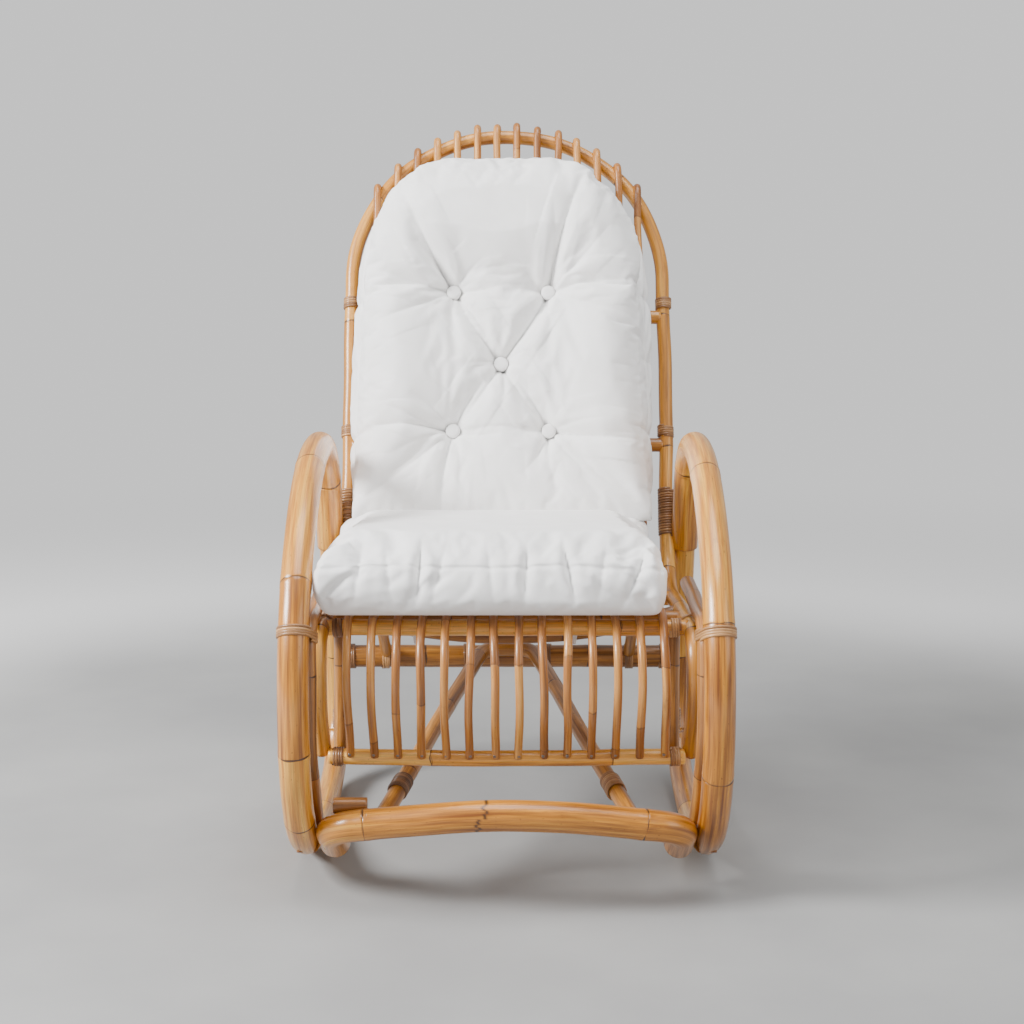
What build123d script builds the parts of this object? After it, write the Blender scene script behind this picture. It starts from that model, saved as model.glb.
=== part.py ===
"""Rattan rocking chair with a buttoned cushion, in millimetres.

The chair faces -Y and stands at rest on the floor, Z = 0, with X = 0 as its plane of symmetry.
Side views are drawn as (depth, height) pairs: depth is measured back from the front of the side
loops, and at() moves it to the chair's own frame, whose origin is under the middle of its box.
"""
import os
from math import cos, dist, radians, sin, sqrt, tan

from build123d import *

os.makedirs("parts", exist_ok=True)

# ---- driving dimensions: side loops ----------------------------------------------------------
LOOP_SPREAD = 558  # between the centre lines of the two side loops
HOOP_POLE = 42
RUNNER_POLE = 38
ARM_HEIGHT = 580  # centre line of the arm above the floor
ARM_CORNER = 505  # depth of the corner at the back of the arm
HOOP_KNEE = 400  # height at which the front of the hoop turns back
HOOP_SLOPE = 38
LOOP_REAR = 663  # depth of the lower rear corner
ROCKER_RADIUS = 850
ROCKER_CONTACT = 405  # depth at which the runners touch the floor at rest
ROCKER_FRONT_ANGLE = 15.5
ROCKER_REAR_ANGLE = 10
FOOT_BEND = 215
KNEE_BEND = 250
ARM_BEND = 430
ARM_REAR_BEND = 150
LOOP_REAR_BEND = 98
ARM_SPLICE_HEIGHT = 400
SCARF_SHARE = 0.585  # how far along the loop, from the arm splice, the front scarf lies
SCARF_TILT = 14
GLUE_LINE = 0.1
SCARF_REACH = 0.05  # share of the loop by which each pole runs past the middle of the scarf
SCARF_CUT_WIDTH = 120
SCARF_CUT_LENGTH = 400
SCARF_CUT_DEPTH = 70
PLUG = 9
PLUG_AHEAD = 0.035
PLUG_DEPTH = 10
PLUG_ASIDE = 6
PLUG_STANDS_OUT = 1

# ---- driving dimensions: seat, back and front panel ------------------------------------------
SEAT_WIDTH = 504  # between the centre lines of the seat side rails
SEAT_REAR = (523, 335)  # corner where seat and back meet
SEAT_FRONT = (72, 371)
PANEL_BELLY = (62, 285)
PANEL_FOOT = (106, 198)
LOWER_RAIL_OUT = 9  # the lower rail stands out in front of the side rails' ends
ROD_SHORT = 10.5  # the rods end on top of the lower rail, above its middle
PANEL_BOW = 10
SEAT_REAR_BEND = 95
SEAT_FRONT_BEND = 48
PANEL_BEND = 105
BACK_ANGLE = 22.5
BACK_LENGTH = 762  # from the seat corner to the top of the back hoop
BACK_SPLICE = 125  # from the seat corner to the splice of hoop and side rail
SIDE_POLE = 24
BACK_POLE = 22
CROSS_POLE = 22
BOW_POLE = 20
TOP_RAIL_DEPTH = 128
SEAT_MIDDLE_DEPTH = 225
SEAT_BOW_DEPTH = 300
SEAT_BOW_DROP = 40
SEAT_REAR_DEPTH = 440
BACK_LOWER_RAIL = 235
BACK_UPPER_RAIL = 449
ROD = 12
ROD_COUNT = 14
ROD_PITCH = 32.7

# ---- driving dimensions: underframe -----------------------------------------------------------
STRETCHER_POLE = 42
STRETCHER_MIDDLE = (2, 147)
STRETCHER_CORNER = (36, 112)
STRETCHER_END = (112, 66)
STRETCHER_BEND = 40
STRETCHER_BOW = 500
REAR_RAIL_POLE = 36
REAR_RAIL_HEIGHT = 207
BRACE_POLE = 22
BRACE_SPREAD = 524
BRACE_START = (308, 391)
BRACE_KNEE = (35, 391)
BRACE_SHIN = (35, 215)
BRACE_END = (112, 96)
BRACE_BENDS = [42, 110]
V_POLE = 24
V_FOOT = 172  # from the middle of the stretcher to each foot of the V brace
V_APEX = 40
V_BEND = 34
V_APEX_ANGLE = 37  # how far above level, seen from the rear rail's centre, the apex lies
POST_POLE = 18
POST_SIDE = 229
POST_OVERRUN = 6
REAR_POST_SIDE = 196.2
STUB_POLE = 22
STUB_ENDS = (188, 233)  # from the middle of the chair, on the left
STRIP = 2.2  # thickness of the lashing strip
HOOP_LASHING_HEIGHT = 383
HOOP_LASHING = 22
RAIL_END_LASHING = 18
RAIL_END_GAP = 1.5
UPRIGHT_LASHING = 22
SPLICE_LASHING = 80
POST_LASHING = 30
POST_LASHING_HEIGHT = 236
CORNER_LASHING = 9
CORNER_LASHING_DEPTH = 158
V_FOOT_LASHING = 40
V_FOOT_LASHING_SHARE = 0.09  # of the V brace's length, from its foot
REAR_RAIL_LASHING = 16
NAIL_HEAD = 5
NAIL_HEAD_THICKNESS = 1.2
NAIL_SHARE = 0.995  # of the rod's length, from its top

# ---- driving dimensions: cushion ----------------------------------------------------------------
GAP = 0.4  # clearance between the cushion and the cane
PAD_WIDTH = 476
SEAT_PAD_ASIDE = -18  # the pads lie a little to the left
BACK_PAD_ASIDE = -8
SEAT_PAD = 92
BACK_PAD = 96
SEAT_PAD_FRONT = 48  # depth of its front face
PAD_TOP = 700  # along the back, from the seat corner to the top of the pad
PAD_EDGE = 34
PAD_TUCK = 14
PAD_SIDE = 12
PAD_SHOULDER = 190
PAD_HEEL = 80  # follows the bend of the rods
BUTTON = 22
BUTTON_HEIGHT = 5
BUTTON_MIDDLE = -10  # the buttons sit a little to the left
BUTTON_SPREAD = 74
BUTTON_ROWS = (232, 340, 457)
TIE_WIDTH = 15
TIE_LENGTH = 70
TIE_THICKNESS = 2
TIE_DEPTH = 262
TIE_GAPS = (-4, 3)  # which gaps between rods the ties hang through, counted from the middle

# ---- directions and helper sizes ----------------------------------------------------------------
BACK_UP = (sin(radians(BACK_ANGLE)), cos(radians(BACK_ANGLE)))
BACK_OUT = (-cos(radians(BACK_ANGLE)), sin(radians(BACK_ANGLE)))
SEAT_RISE = (SEAT_REAR[1] - SEAT_FRONT[1]) / (SEAT_REAR[0] - SEAT_FRONT[0])
ARCH_RADIUS = SEAT_WIDTH / 2
ROD_OFFSET = (ROD + CROSS_POLE) / 2
ROD_XS = [(i - (ROD_COUNT - 1) / 2) * ROD_PITCH for i in range(ROD_COUNT)]
SIDES = {"left": -1, "right": 1}


def back_point(along, out=0.0):
    """Depth and height of a point on the back: along it from the seat corner, out to the sitter."""
    depth = SEAT_REAR[0] + along * BACK_UP[0] + out * BACK_OUT[0]
    height = SEAT_REAR[1] + along * BACK_UP[1] + out * BACK_OUT[1]
    return depth, height


REAR_EXTENT = back_point(BACK_LENGTH + CROSS_POLE / 2 + ROD, -ROD / 2)[0]
ORIGIN_DEPTH = (REAR_EXTENT - HOOP_POLE / 2) / 2


def at(point, x=None):
    """A (depth, height) pair in the chair's frame; with x, the full point."""
    if x is None:
        return point[0] - ORIGIN_DEPTH, point[1]
    return x, point[0] - ORIGIN_DEPTH, point[1]


def seat_line(depth):
    """Height of the seat rails' centre line at a depth."""
    return SEAT_REAR[1] + (depth - SEAT_REAR[0]) * SEAT_RISE


def offset_corners(corners, distance):
    """Move a polyline of (depth, height) corners to the sitter's side by a distance."""
    normals = []
    for (y0, z0), (y1, z1) in zip(corners, corners[1:]):
        length = sqrt((y1 - y0) ** 2 + (z1 - z0) ** 2)
        normals.append(((z1 - z0) / length, (y0 - y1) / length))
    moved = []
    for i, (y, z) in enumerate(corners):
        before = normals[max(i - 1, 0)]
        after = normals[min(i, len(normals) - 1)]
        share = distance / (1 + before[0] * after[0] + before[1] * after[1])
        moved.append((y + share * (before[0] + after[0]), z + share * (before[1] + after[1])))
    return moved


def save(part, name):
    part.label = name
    export_step(part, f"parts/{name}.step")


def pole(path, diameter, *coped_on):
    """A round pole along a wire, with its ends and sides coped on other poles."""
    with BuildPart() as stick:
        with BuildSketch(Plane(path @ 0, z_dir=path % 0)):
            Circle(diameter / 2)
        sweep(path=path)
        for other in coped_on:
            add(other, mode=Mode.SUBTRACT)
    return stick.part


def straight_pole(start, end, diameter, *coped_on):
    return pole(Wire([Edge.make_line(start, end)]), diameter, *coped_on)


def lashing(centre, direction, diameter, length, *wrapped):
    """A sleeve of wound strip round a pole, cut away where it meets the poles it binds."""
    with BuildPart() as sleeve:
        with BuildSketch(Plane(centre, z_dir=direction)):
            Circle(diameter / 2 + STRIP)
            Circle(diameter / 2, mode=Mode.SUBTRACT)
        extrude(amount=length / 2, both=True)
        for other in wrapped:
            add(other, mode=Mode.SUBTRACT)
    return sleeve.part


# ---- side loops: arm hoops and runners ---------------------------------------------------------
# The rocker is an arc whose lowest point is the contact; straight tangents lead on from it.
low = RUNNER_POLE / 2
half_turn = (ROCKER_FRONT_ANGLE + ROCKER_REAR_ANGLE) / 2
front_slope = tan(radians(ROCKER_FRONT_ANGLE))
rear_slope = tan(radians(ROCKER_REAR_ANGLE))
front_touch = ROCKER_CONTACT - ROCKER_RADIUS * sin(radians(ROCKER_FRONT_ANGLE))
front_touch_height = low + ROCKER_RADIUS * (1 - cos(radians(ROCKER_FRONT_ANGLE)))
corner_reach = ROCKER_RADIUS * tan(radians(half_turn)) * cos(radians(ROCKER_FRONT_ANGLE))
rocker_corner = (front_touch + corner_reach, front_touch_height - corner_reach * front_slope)
toe_corner = (0, front_touch_height + front_touch * front_slope)
knee_corner = (0, HOOP_KNEE)
arm_corner = ((ARM_HEIGHT - HOOP_KNEE) / tan(radians(HOOP_SLOPE)), ARM_HEIGHT)
arm_rear_corner = (ARM_CORNER, ARM_HEIGHT)
heel_corner = (LOOP_REAR, rocker_corner[1] + (LOOP_REAR - rocker_corner[0]) * rear_slope)


def on_rear_line(height):
    """The point of the loop's straight rear stretch at a height."""
    share = (ARM_HEIGHT - height) / (ARM_HEIGHT - heel_corner[1])
    return ARM_CORNER + share * (LOOP_REAR - ARM_CORNER), height


arm_splice = on_rear_line(ARM_SPLICE_HEIGHT)
runner_top = on_rear_line(ARM_SPLICE_HEIGHT - GLUE_LINE)
loop_corners = [
    arm_splice, arm_rear_corner, arm_corner, knee_corner, toe_corner, rocker_corner, heel_corner, runner_top
]
loop_bends = [ARM_REAR_BEND, ARM_BEND, KNEE_BEND, FOOT_BEND, ROCKER_RADIUS, LOOP_REAR_BEND]


def loop_wire(x):
    with BuildLine(Plane.YZ.offset(x)) as loop:
        FilletPolyline(*[at(p) for p in loop_corners], radius=loop_bends)
    return loop.wire()


hoops = {}
runners = {}
for side, sign in SIDES.items():
    loop = loop_wire(sign * LOOP_SPREAD / 2)
    tilt = radians(SCARF_TILT)
    scarf_normal = (loop % SCARF_SHARE) * sin(tilt) + Vector(-sign * cos(tilt), 0, 0)
    across_pole = Vector(1, 0, 0).cross(loop % SCARF_SHARE)
    scarf = Plane(loop @ SCARF_SHARE, x_dir=across_pole, z_dir=scarf_normal)
    # the plug stands on the front of the scarf, square to the pole
    plug_share = SCARF_SHARE - PLUG_AHEAD
    plug_out = Vector(1, 0, 0).cross(loop % plug_share) * -1
    plug_seat = (loop @ plug_share) + plug_out * (HOOP_POLE / 2 - PLUG_DEPTH)
    plug_plane = Plane(plug_seat + Vector(sign * PLUG_ASIDE, 0, 0), z_dir=plug_out)
    with BuildPart() as arm_hoop:
        with BuildSketch(Plane(loop @ 0, z_dir=loop % 0)):
            Circle(HOOP_POLE / 2)
        sweep(path=loop.trim(0, SCARF_SHARE + SCARF_REACH))
        with BuildSketch(scarf):
            Rectangle(SCARF_CUT_WIDTH, SCARF_CUT_LENGTH)
        extrude(amount=SCARF_CUT_DEPTH, mode=Mode.SUBTRACT)
        with BuildSketch(plug_plane):
            Circle(PLUG / 2)
        extrude(amount=HOOP_POLE / 2, mode=Mode.SUBTRACT)
    hoops[side] = arm_hoop.part
    save(hoops[side], f"arm_hoop_{side}")
    runner_path = loop.trim(SCARF_SHARE - SCARF_REACH, 1)
    with BuildPart() as runner:
        with BuildSketch(Plane(runner_path @ 0, z_dir=runner_path % 0)):
            Circle(RUNNER_POLE / 2)
        sweep(path=runner_path)
        with BuildSketch(scarf):
            Rectangle(SCARF_CUT_WIDTH, SCARF_CUT_LENGTH)
        extrude(amount=-SCARF_CUT_DEPTH, mode=Mode.SUBTRACT)
    runners[side] = runner.part
    save(runners[side], f"runner_{side}")
    with BuildPart() as plug:
        with BuildSketch(plug_plane):
            Circle(PLUG / 2)
        extrude(amount=PLUG_DEPTH + PLUG_STANDS_OUT)
    save(plug.part, f"scarf_plug_{side}")

# ---- hoop braces: from under the seat rail to the hoop and down behind it --------------------
braces = {}
for side, sign in SIDES.items():
    with BuildLine(Plane.YZ.offset(sign * BRACE_SPREAD / 2)) as brace_line:
        FilletPolyline(at(BRACE_START), at(BRACE_KNEE), at(BRACE_SHIN), at(BRACE_END), radius=BRACE_BENDS)
    braces[side] = pole(brace_line.wire(), BRACE_POLE, hoops[side], runners[side])
    save(braces[side], f"hoop_brace_{side}")

# ---- front stretcher: bowed between the hoops, with its ends turned back beside them ---------
stretcher_side = LOOP_SPREAD / 2 - (HOOP_POLE + STRETCHER_POLE) / 2
with BuildLine() as stretcher_line:
    FilletPolyline(
        at(STRETCHER_END, -stretcher_side),
        at(STRETCHER_CORNER, -stretcher_side),
        at(STRETCHER_MIDDLE, 0),
        at(STRETCHER_CORNER, stretcher_side),
        at(STRETCHER_END, stretcher_side),
        radius=[STRETCHER_BEND, STRETCHER_BOW, STRETCHER_BEND],
    )
stretcher_wire = stretcher_line.wire()
stretcher = pole(stretcher_wire, STRETCHER_POLE, *hoops.values(), *runners.values(), *braces.values())
save(stretcher, "front_stretcher")

# ---- rear cross rail, butted between the runners ----------------------------------------------
rear_rail_at = on_rear_line(REAR_RAIL_HEIGHT)
half_spread = LOOP_SPREAD / 2
rear_rail = straight_pole(
    at(rear_rail_at, -half_spread), at(rear_rail_at, half_spread), REAR_RAIL_POLE, *runners.values()
)
save(rear_rail, "rear_cross_rail")

# ---- V brace: one pole bent double over the rear rail, its feet on the stretcher --------------
apex_reach = (REAR_RAIL_POLE + V_POLE) / 2
apex = (
    rear_rail_at[0] - apex_reach * cos(radians(V_APEX_ANGLE)),
    rear_rail_at[1] + apex_reach * sin(radians(V_APEX_ANGLE)),
)
foot_drop = (STRETCHER_MIDDLE[1] - STRETCHER_CORNER[1]) * V_FOOT / stretcher_side
foot_set = (STRETCHER_CORNER[0] - STRETCHER_MIDDLE[0]) * V_FOOT / stretcher_side
v_foot = (STRETCHER_MIDDLE[0] + foot_set, STRETCHER_MIDDLE[1] - foot_drop)
with BuildLine() as v_line:
    FilletPolyline(
        at(v_foot, -V_FOOT), at(apex, -V_APEX), at(apex, V_APEX), at(v_foot, V_FOOT), radius=V_BEND
    )
v_brace = pole(v_line.wire(), V_POLE, stretcher, rear_rail)
save(v_brace, "v_brace")

# ---- seat side rails: from the splice in the back, along the seat and down the front panel -----
rail_corners = [back_point(BACK_SPLICE), SEAT_REAR, SEAT_FRONT, PANEL_BELLY, PANEL_FOOT]
rail_bends = [SEAT_REAR_BEND, SEAT_FRONT_BEND, PANEL_BEND]
side_rails = {}
for side, sign in SIDES.items():
    with BuildLine(Plane.YZ.offset(sign * SEAT_WIDTH / 2)) as rail_line:
        FilletPolyline(*[at(p) for p in rail_corners], radius=rail_bends)
    side_rails[side] = pole(rail_line.wire(), SIDE_POLE, braces[side], runners[side], hoops[side])
    save(side_rails[side], f"seat_side_rail_{side}")

# ---- back hoop: two uprights and a half-round top ------------------------------------------------
back_plane = Plane(
    at(SEAT_REAR, 0), x_dir=(1, 0, 0), z_dir=(0, BACK_OUT[0], BACK_OUT[1])
)
with BuildLine(back_plane) as back_line:
    Line((-ARCH_RADIUS, BACK_SPLICE), (-ARCH_RADIUS, BACK_LENGTH - ARCH_RADIUS))
    ThreePointArc(
        (-ARCH_RADIUS, BACK_LENGTH - ARCH_RADIUS), (0, BACK_LENGTH), (ARCH_RADIUS, BACK_LENGTH - ARCH_RADIUS)
    )
    Line((ARCH_RADIUS, BACK_LENGTH - ARCH_RADIUS), (ARCH_RADIUS, BACK_SPLICE))
back_hoop = pole(back_line.wire(), BACK_POLE, *hoops.values(), *runners.values())
save(back_hoop, "back_hoop")

# ---- cross rails of the back, seat and front panel ------------------------------------------------
cross_rails = {
    "back_upper_rail": (back_point(BACK_UPPER_RAIL), back_hoop),
    "back_lower_rail": (back_point(BACK_LOWER_RAIL), back_hoop),
    "seat_rear_rail": ((SEAT_REAR_DEPTH, seat_line(SEAT_REAR_DEPTH)), None),
    "seat_middle_rail": ((SEAT_MIDDLE_DEPTH, seat_line(SEAT_MIDDLE_DEPTH)), None),
    "front_top_rail": ((TOP_RAIL_DEPTH, seat_line(TOP_RAIL_DEPTH)), None),
}
rails = {}
for name, (place, frame) in cross_rails.items():
    held_by = [frame] if frame else list(side_rails.values())
    rails[name] = straight_pole(at(place, -ARCH_RADIUS), at(place, ARCH_RADIUS), CROSS_POLE, *held_by)
    save(rails[name], name)

lower_rail_at = offset_corners([PANEL_BELLY, PANEL_FOOT], LOWER_RAIL_OUT)[1]
with BuildLine(Plane.XY.offset(lower_rail_at[1])) as lower_line:
    ThreePointArc(
        (-ARCH_RADIUS, at(lower_rail_at)[0]),
        (0, at(lower_rail_at)[0] - PANEL_BOW),
        (ARCH_RADIUS, at(lower_rail_at)[0]),
    )
lower_rail = pole(lower_line.wire(), CROSS_POLE, *side_rails.values())
save(lower_rail, "front_lower_rail")

bow_height = seat_line(SEAT_BOW_DEPTH)
with BuildLine(Plane.XZ.offset(-at((SEAT_BOW_DEPTH, 0))[0])) as bow_line:
    ThreePointArc((-ARCH_RADIUS, bow_height), (0, bow_height - SEAT_BOW_DROP), (ARCH_RADIUS, bow_height))
bow_rail = pole(bow_line.wire(), BOW_POLE, *side_rails.values())
save(bow_rail, "seat_bow_rail")

# ---- posts: upright ones behind the ends of the front panel, slanted ones down to the rear rail ---
post_set_back = (CROSS_POLE + POST_POLE) / 2 + STRIP
post_top = (TOP_RAIL_DEPTH + post_set_back, seat_line(TOP_RAIL_DEPTH) + POST_OVERRUN)
post_foot = (PANEL_FOOT[0] + post_set_back, PANEL_FOOT[1] - POST_OVERRUN)
posts = {}
for side, sign in SIDES.items():
    posts[side] = straight_pole(at(post_top, sign * POST_SIDE), at(post_foot, sign * POST_SIDE), POST_POLE)
    save(posts[side], f"front_post_{side}")
rear_posts = {}
for side, sign in SIDES.items():
    top = at((SEAT_REAR_DEPTH, seat_line(SEAT_REAR_DEPTH)), sign * REAR_POST_SIDE)
    foot = at(rear_rail_at, sign * REAR_POST_SIDE)
    rear_posts[side] = straight_pole(top, foot, POST_POLE, rails["seat_rear_rail"], rear_rail)
    save(rear_posts[side], f"rear_post_{side}")

# ---- cane rods: hooked over the back hoop, down the back, along the seat, down the front ---------
nails = []
for number, x in enumerate(ROD_XS, start=1):
    lean = sqrt(1 - (x / ARCH_RADIUS) ** 2)
    crossing = BACK_LENGTH - ARCH_RADIUS * (1 - lean)
    rise = ROD / 2 + CROSS_POLE / 2 / lean
    bow = PANEL_BOW * (1 - (x / ARCH_RADIUS) ** 2)
    below_top = (PANEL_BELLY[0] - bow, PANEL_BELLY[1])
    foot_share = 1 - ROD_SHORT / dist(PANEL_BELLY, PANEL_FOOT)
    foot_step = [foot_share * (PANEL_FOOT[k] - PANEL_BELLY[k]) for k in (0, 1)]
    foot = (below_top[0] + foot_step[0], below_top[1] + foot_step[1])
    inner = offset_corners([back_point(BACK_LENGTH), SEAT_REAR, SEAT_FRONT, below_top, foot], ROD_OFFSET)
    corners = [back_point(crossing + rise, -ROD / 2), back_point(crossing + rise, ROD_OFFSET)] + inner[1:]
    bends = [
        ROD_OFFSET - 1,
        SEAT_REAR_BEND - ROD_OFFSET,
        SEAT_FRONT_BEND + ROD_OFFSET,
        PANEL_BEND + ROD_OFFSET,
    ]
    with BuildLine(Plane.YZ.offset(x)) as rod_line:
        FilletPolyline(*[at(p) for p in corners], radius=bends)
    rod_wire = rod_line.wire()
    rod = pole(rod_wire, ROD, back_hoop, lower_rail)
    save(rod, f"rod_{number:02d}")
    nail_out = Vector(1, 0, 0).cross(rod_wire % NAIL_SHARE)
    nail_plane = Plane((rod_wire @ NAIL_SHARE) - nail_out * ROD / 4, z_dir=nail_out * -1)
    with BuildPart() as nail:
        with BuildSketch(nail_plane):
            Circle(NAIL_HEAD / 2)
        extrude(amount=ROD / 4 + NAIL_HEAD_THICKNESS)
        add(rod, mode=Mode.SUBTRACT)
    nails.append(nail.part)


def save_group(pieces, name):
    with BuildPart() as group:
        for piece in pieces:
            add(piece)
    save(group.part, name)


save_group(nails, "rod_nails")

# ---- stub of pole nailed behind the left end of the stretcher -------------------------------------
stub_share = sum(STUB_ENDS) / 2 / stretcher_side
stub_reach = (STRETCHER_POLE + STUB_POLE) / 2 * sqrt(0.5)
stub_at = (
    STRETCHER_MIDDLE[0] + (STRETCHER_CORNER[0] - STRETCHER_MIDDLE[0]) * stub_share + stub_reach,
    STRETCHER_MIDDLE[1] - (STRETCHER_MIDDLE[1] - STRETCHER_CORNER[1]) * stub_share + stub_reach,
)
stub = straight_pole(at(stub_at, -STUB_ENDS[1]), at(stub_at, -STUB_ENDS[0]), STUB_POLE, stretcher, v_brace)
save(stub, "stretcher_stub")

# ---- lashings of rattan strip ----------------------------------------------------------------------
# on the hoops, where the braces meet them: a place on the bend of the hoop's knee
knee_turn = radians(90 - HOOP_SLOPE)
knee_rise = HOOP_LASHING_HEIGHT - (HOOP_KNEE - KNEE_BEND * tan(knee_turn / 2))
knee_lean = knee_rise / KNEE_BEND
hoop_lashing_at = (KNEE_BEND * (1 - sqrt(1 - knee_lean**2)), HOOP_LASHING_HEIGHT)
hoop_lashings = [
    lashing(
        at(hoop_lashing_at, sign * LOOP_SPREAD / 2),
        (0, knee_lean, sqrt(1 - knee_lean**2)),
        HOOP_POLE,
        HOOP_LASHING,
        hoops[side],
        braces[side],
    )
    for side, sign in SIDES.items()
]
save_group(hoop_lashings, "hoop_lashings")

back_direction = (0, BACK_UP[0], BACK_UP[1])
lashing_rise = (CROSS_POLE + UPRIGHT_LASHING) / 2 + GAP
rail_lashing_x = (SEAT_WIDTH - SIDE_POLE - RAIL_END_LASHING) / 2 - RAIL_END_GAP
upright_lashings = []
splice_lashings = []
top_rail_lashings = []
lower_rail_lashings = []
post_lashings = []
corner_lashings = []
v_foot_lashings = []
rear_rail_lashings = []
for side, sign in SIDES.items():
    for along in (BACK_UPPER_RAIL, BACK_LOWER_RAIL):
        upright_lashings.append(
            lashing(
                at(back_point(along + lashing_rise), sign * ARCH_RADIUS), back_direction, BACK_POLE,
                UPRIGHT_LASHING, hoops[side],
            )
        )
    splice_lashings.append(
        lashing(
            at(back_point(BACK_SPLICE), sign * ARCH_RADIUS), back_direction, SIDE_POLE, SPLICE_LASHING,
            hoops[side], runners[side], side_rails[side],
        )
    )
    top_rail_lashings.append(
        lashing(
            at((TOP_RAIL_DEPTH, seat_line(TOP_RAIL_DEPTH)), sign * rail_lashing_x), (1, 0, 0), CROSS_POLE,
            RAIL_END_LASHING, side_rails[side],
        )
    )
    lower_share = 0.5 + sign * rail_lashing_x / SEAT_WIDTH
    lower_rail_lashings.append(
        lashing(
            lower_line.wire() @ lower_share, lower_line.wire() % lower_share, CROSS_POLE, RAIL_END_LASHING,
            side_rails[side],
        )
    )
    post_share = (POST_LASHING_HEIGHT - post_foot[1]) / (post_top[1] - post_foot[1])
    post_depth = post_foot[0] + post_share * (post_top[0] - post_foot[0])
    post_direction = (0, post_top[0] - post_foot[0], post_top[1] - post_foot[1])
    post_lashings.append(
        lashing(
            at((post_depth, POST_LASHING_HEIGHT), sign * POST_SIDE), post_direction, POST_POLE, POST_LASHING,
            side_rails[side],
        )
    )
    corner_lashings.append(
        lashing(
            at((CORNER_LASHING_DEPTH, seat_line(CORNER_LASHING_DEPTH)), sign * SEAT_WIDTH / 2),
            (0, 1, SEAT_RISE), SIDE_POLE, CORNER_LASHING, braces[side],
        )
    )
    foot_share = V_FOOT_LASHING_SHARE if side == "left" else 1 - V_FOOT_LASHING_SHARE
    foot_corner = v_line.wire() @ foot_share
    foot_direction = v_line.wire() % foot_share
    v_foot_lashings.append(
        lashing(foot_corner, foot_direction, V_POLE, V_FOOT_LASHING, stretcher, stub, lower_rail)
    )
    rear_rail_end = LOOP_SPREAD / 2 - RUNNER_POLE / 2 - REAR_RAIL_LASHING / 2
    for x in (sign * rear_rail_end, sign * REAR_POST_SIDE, sign * (V_APEX + V_POLE)):
        rear_rail_lashings.append(
            lashing(
                at(rear_rail_at, x), (1, 0, 0), REAR_RAIL_POLE, REAR_RAIL_LASHING,
                v_brace, rear_posts[side], runners[side],
            )
        )
save_group(upright_lashings, "upright_lashings")
save_group(splice_lashings, "splice_lashings")
save_group(top_rail_lashings, "top_rail_lashings")
save_group(lower_rail_lashings, "lower_rail_lashings")
save_group(post_lashings, "post_lashings")
save_group(corner_lashings, "corner_lashings")
save_group(v_foot_lashings, "v_foot_lashings")
save_group(rear_rail_lashings, "rear_rail_lashings")

# ---- cushion: seat pad, back pad, buttons and ties -------------------------------------------------
pad_lift = ROD_OFFSET + ROD / 2 + GAP
seat_run = [back_point(BACK_LENGTH), SEAT_REAR, SEAT_FRONT]
pad_under = offset_corners(seat_run, pad_lift)
pad_over = offset_corners(seat_run, pad_lift + SEAT_PAD)
front_under = (SEAT_PAD_FRONT, pad_under[1][1] + (SEAT_PAD_FRONT - pad_under[1][0]) * SEAT_RISE)
front_over = (SEAT_PAD_FRONT, pad_over[1][1] + (SEAT_PAD_FRONT - pad_over[1][0]) * SEAT_RISE)


def back_on_seat_top(out, gap):
    """Where a line along the back, out from it, meets the top of the seat pad plus a gap."""
    start = back_point(0, out)
    top_at_start = front_over[1] + (start[0] - SEAT_PAD_FRONT) * SEAT_RISE + gap
    along = (top_at_start - start[1]) / (BACK_UP[1] - BACK_UP[0] * SEAT_RISE)
    return back_point(along, out)


def pad_side(corners, bends, aside):
    """A pad's rounded side outline on its own middle plane."""
    with BuildSketch(Plane.YZ.offset(aside)) as side_view:
        with BuildLine():
            FilletPolyline(*[at(p) for p in corners], radius=bends, close=True)
        make_face()
    return side_view.sketch


seat_back_top = back_on_seat_top(pad_lift, 0)
seat_side = pad_side(
    [front_under, pad_under[1], seat_back_top, front_over],
    [PAD_EDGE, PAD_HEEL, PAD_TUCK, PAD_EDGE],
    SEAT_PAD_ASIDE,
)
with BuildPart() as seat_pad:
    extrude(seat_side, amount=PAD_WIDTH / 2, both=True)
    fillet(faces().filter_by(Axis.X).edges(), PAD_SIDE)
save(seat_pad.part, "seat_cushion")

pad_front = pad_lift + BACK_PAD
back_side = pad_side(
    [
        back_on_seat_top(pad_lift, GAP),
        back_on_seat_top(pad_front, GAP),
        back_point(PAD_TOP, pad_front),
        back_point(PAD_TOP, pad_lift),
    ],
    [PAD_TUCK, PAD_TUCK, PAD_EDGE, PAD_EDGE],
    BACK_PAD_ASIDE,
)
with BuildPart() as back_pad:
    extrude(back_side, amount=PAD_WIDTH / 2, both=True)
    with BuildSketch(back_plane):
        with Locations((BACK_PAD_ASIDE, PAD_TOP / 2)):
            RectangleRounded(PAD_WIDTH, PAD_TOP, PAD_SHOULDER)
        with Locations((BACK_PAD_ASIDE, PAD_TOP / 4)):
            Rectangle(PAD_WIDTH, PAD_TOP / 2)
    extrude(amount=2 * pad_front, mode=Mode.INTERSECT)
save(back_pad.part, "back_cushion")

buttons = []
for row, along in enumerate(BUTTON_ROWS):
    spreads = (0,) if row == 1 else (-BUTTON_SPREAD, BUTTON_SPREAD)
    for spread in spreads:
        place = Plane(
            at(back_point(along, pad_front), BUTTON_MIDDLE + spread), z_dir=(0, BACK_OUT[0], BACK_OUT[1])
        )
        with BuildPart() as button:
            with BuildSketch(place):
                Circle(BUTTON / 2)
            extrude(amount=BUTTON_HEIGHT)
        buttons.append(button.part)
save_group(buttons, "cushion_buttons")

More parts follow.
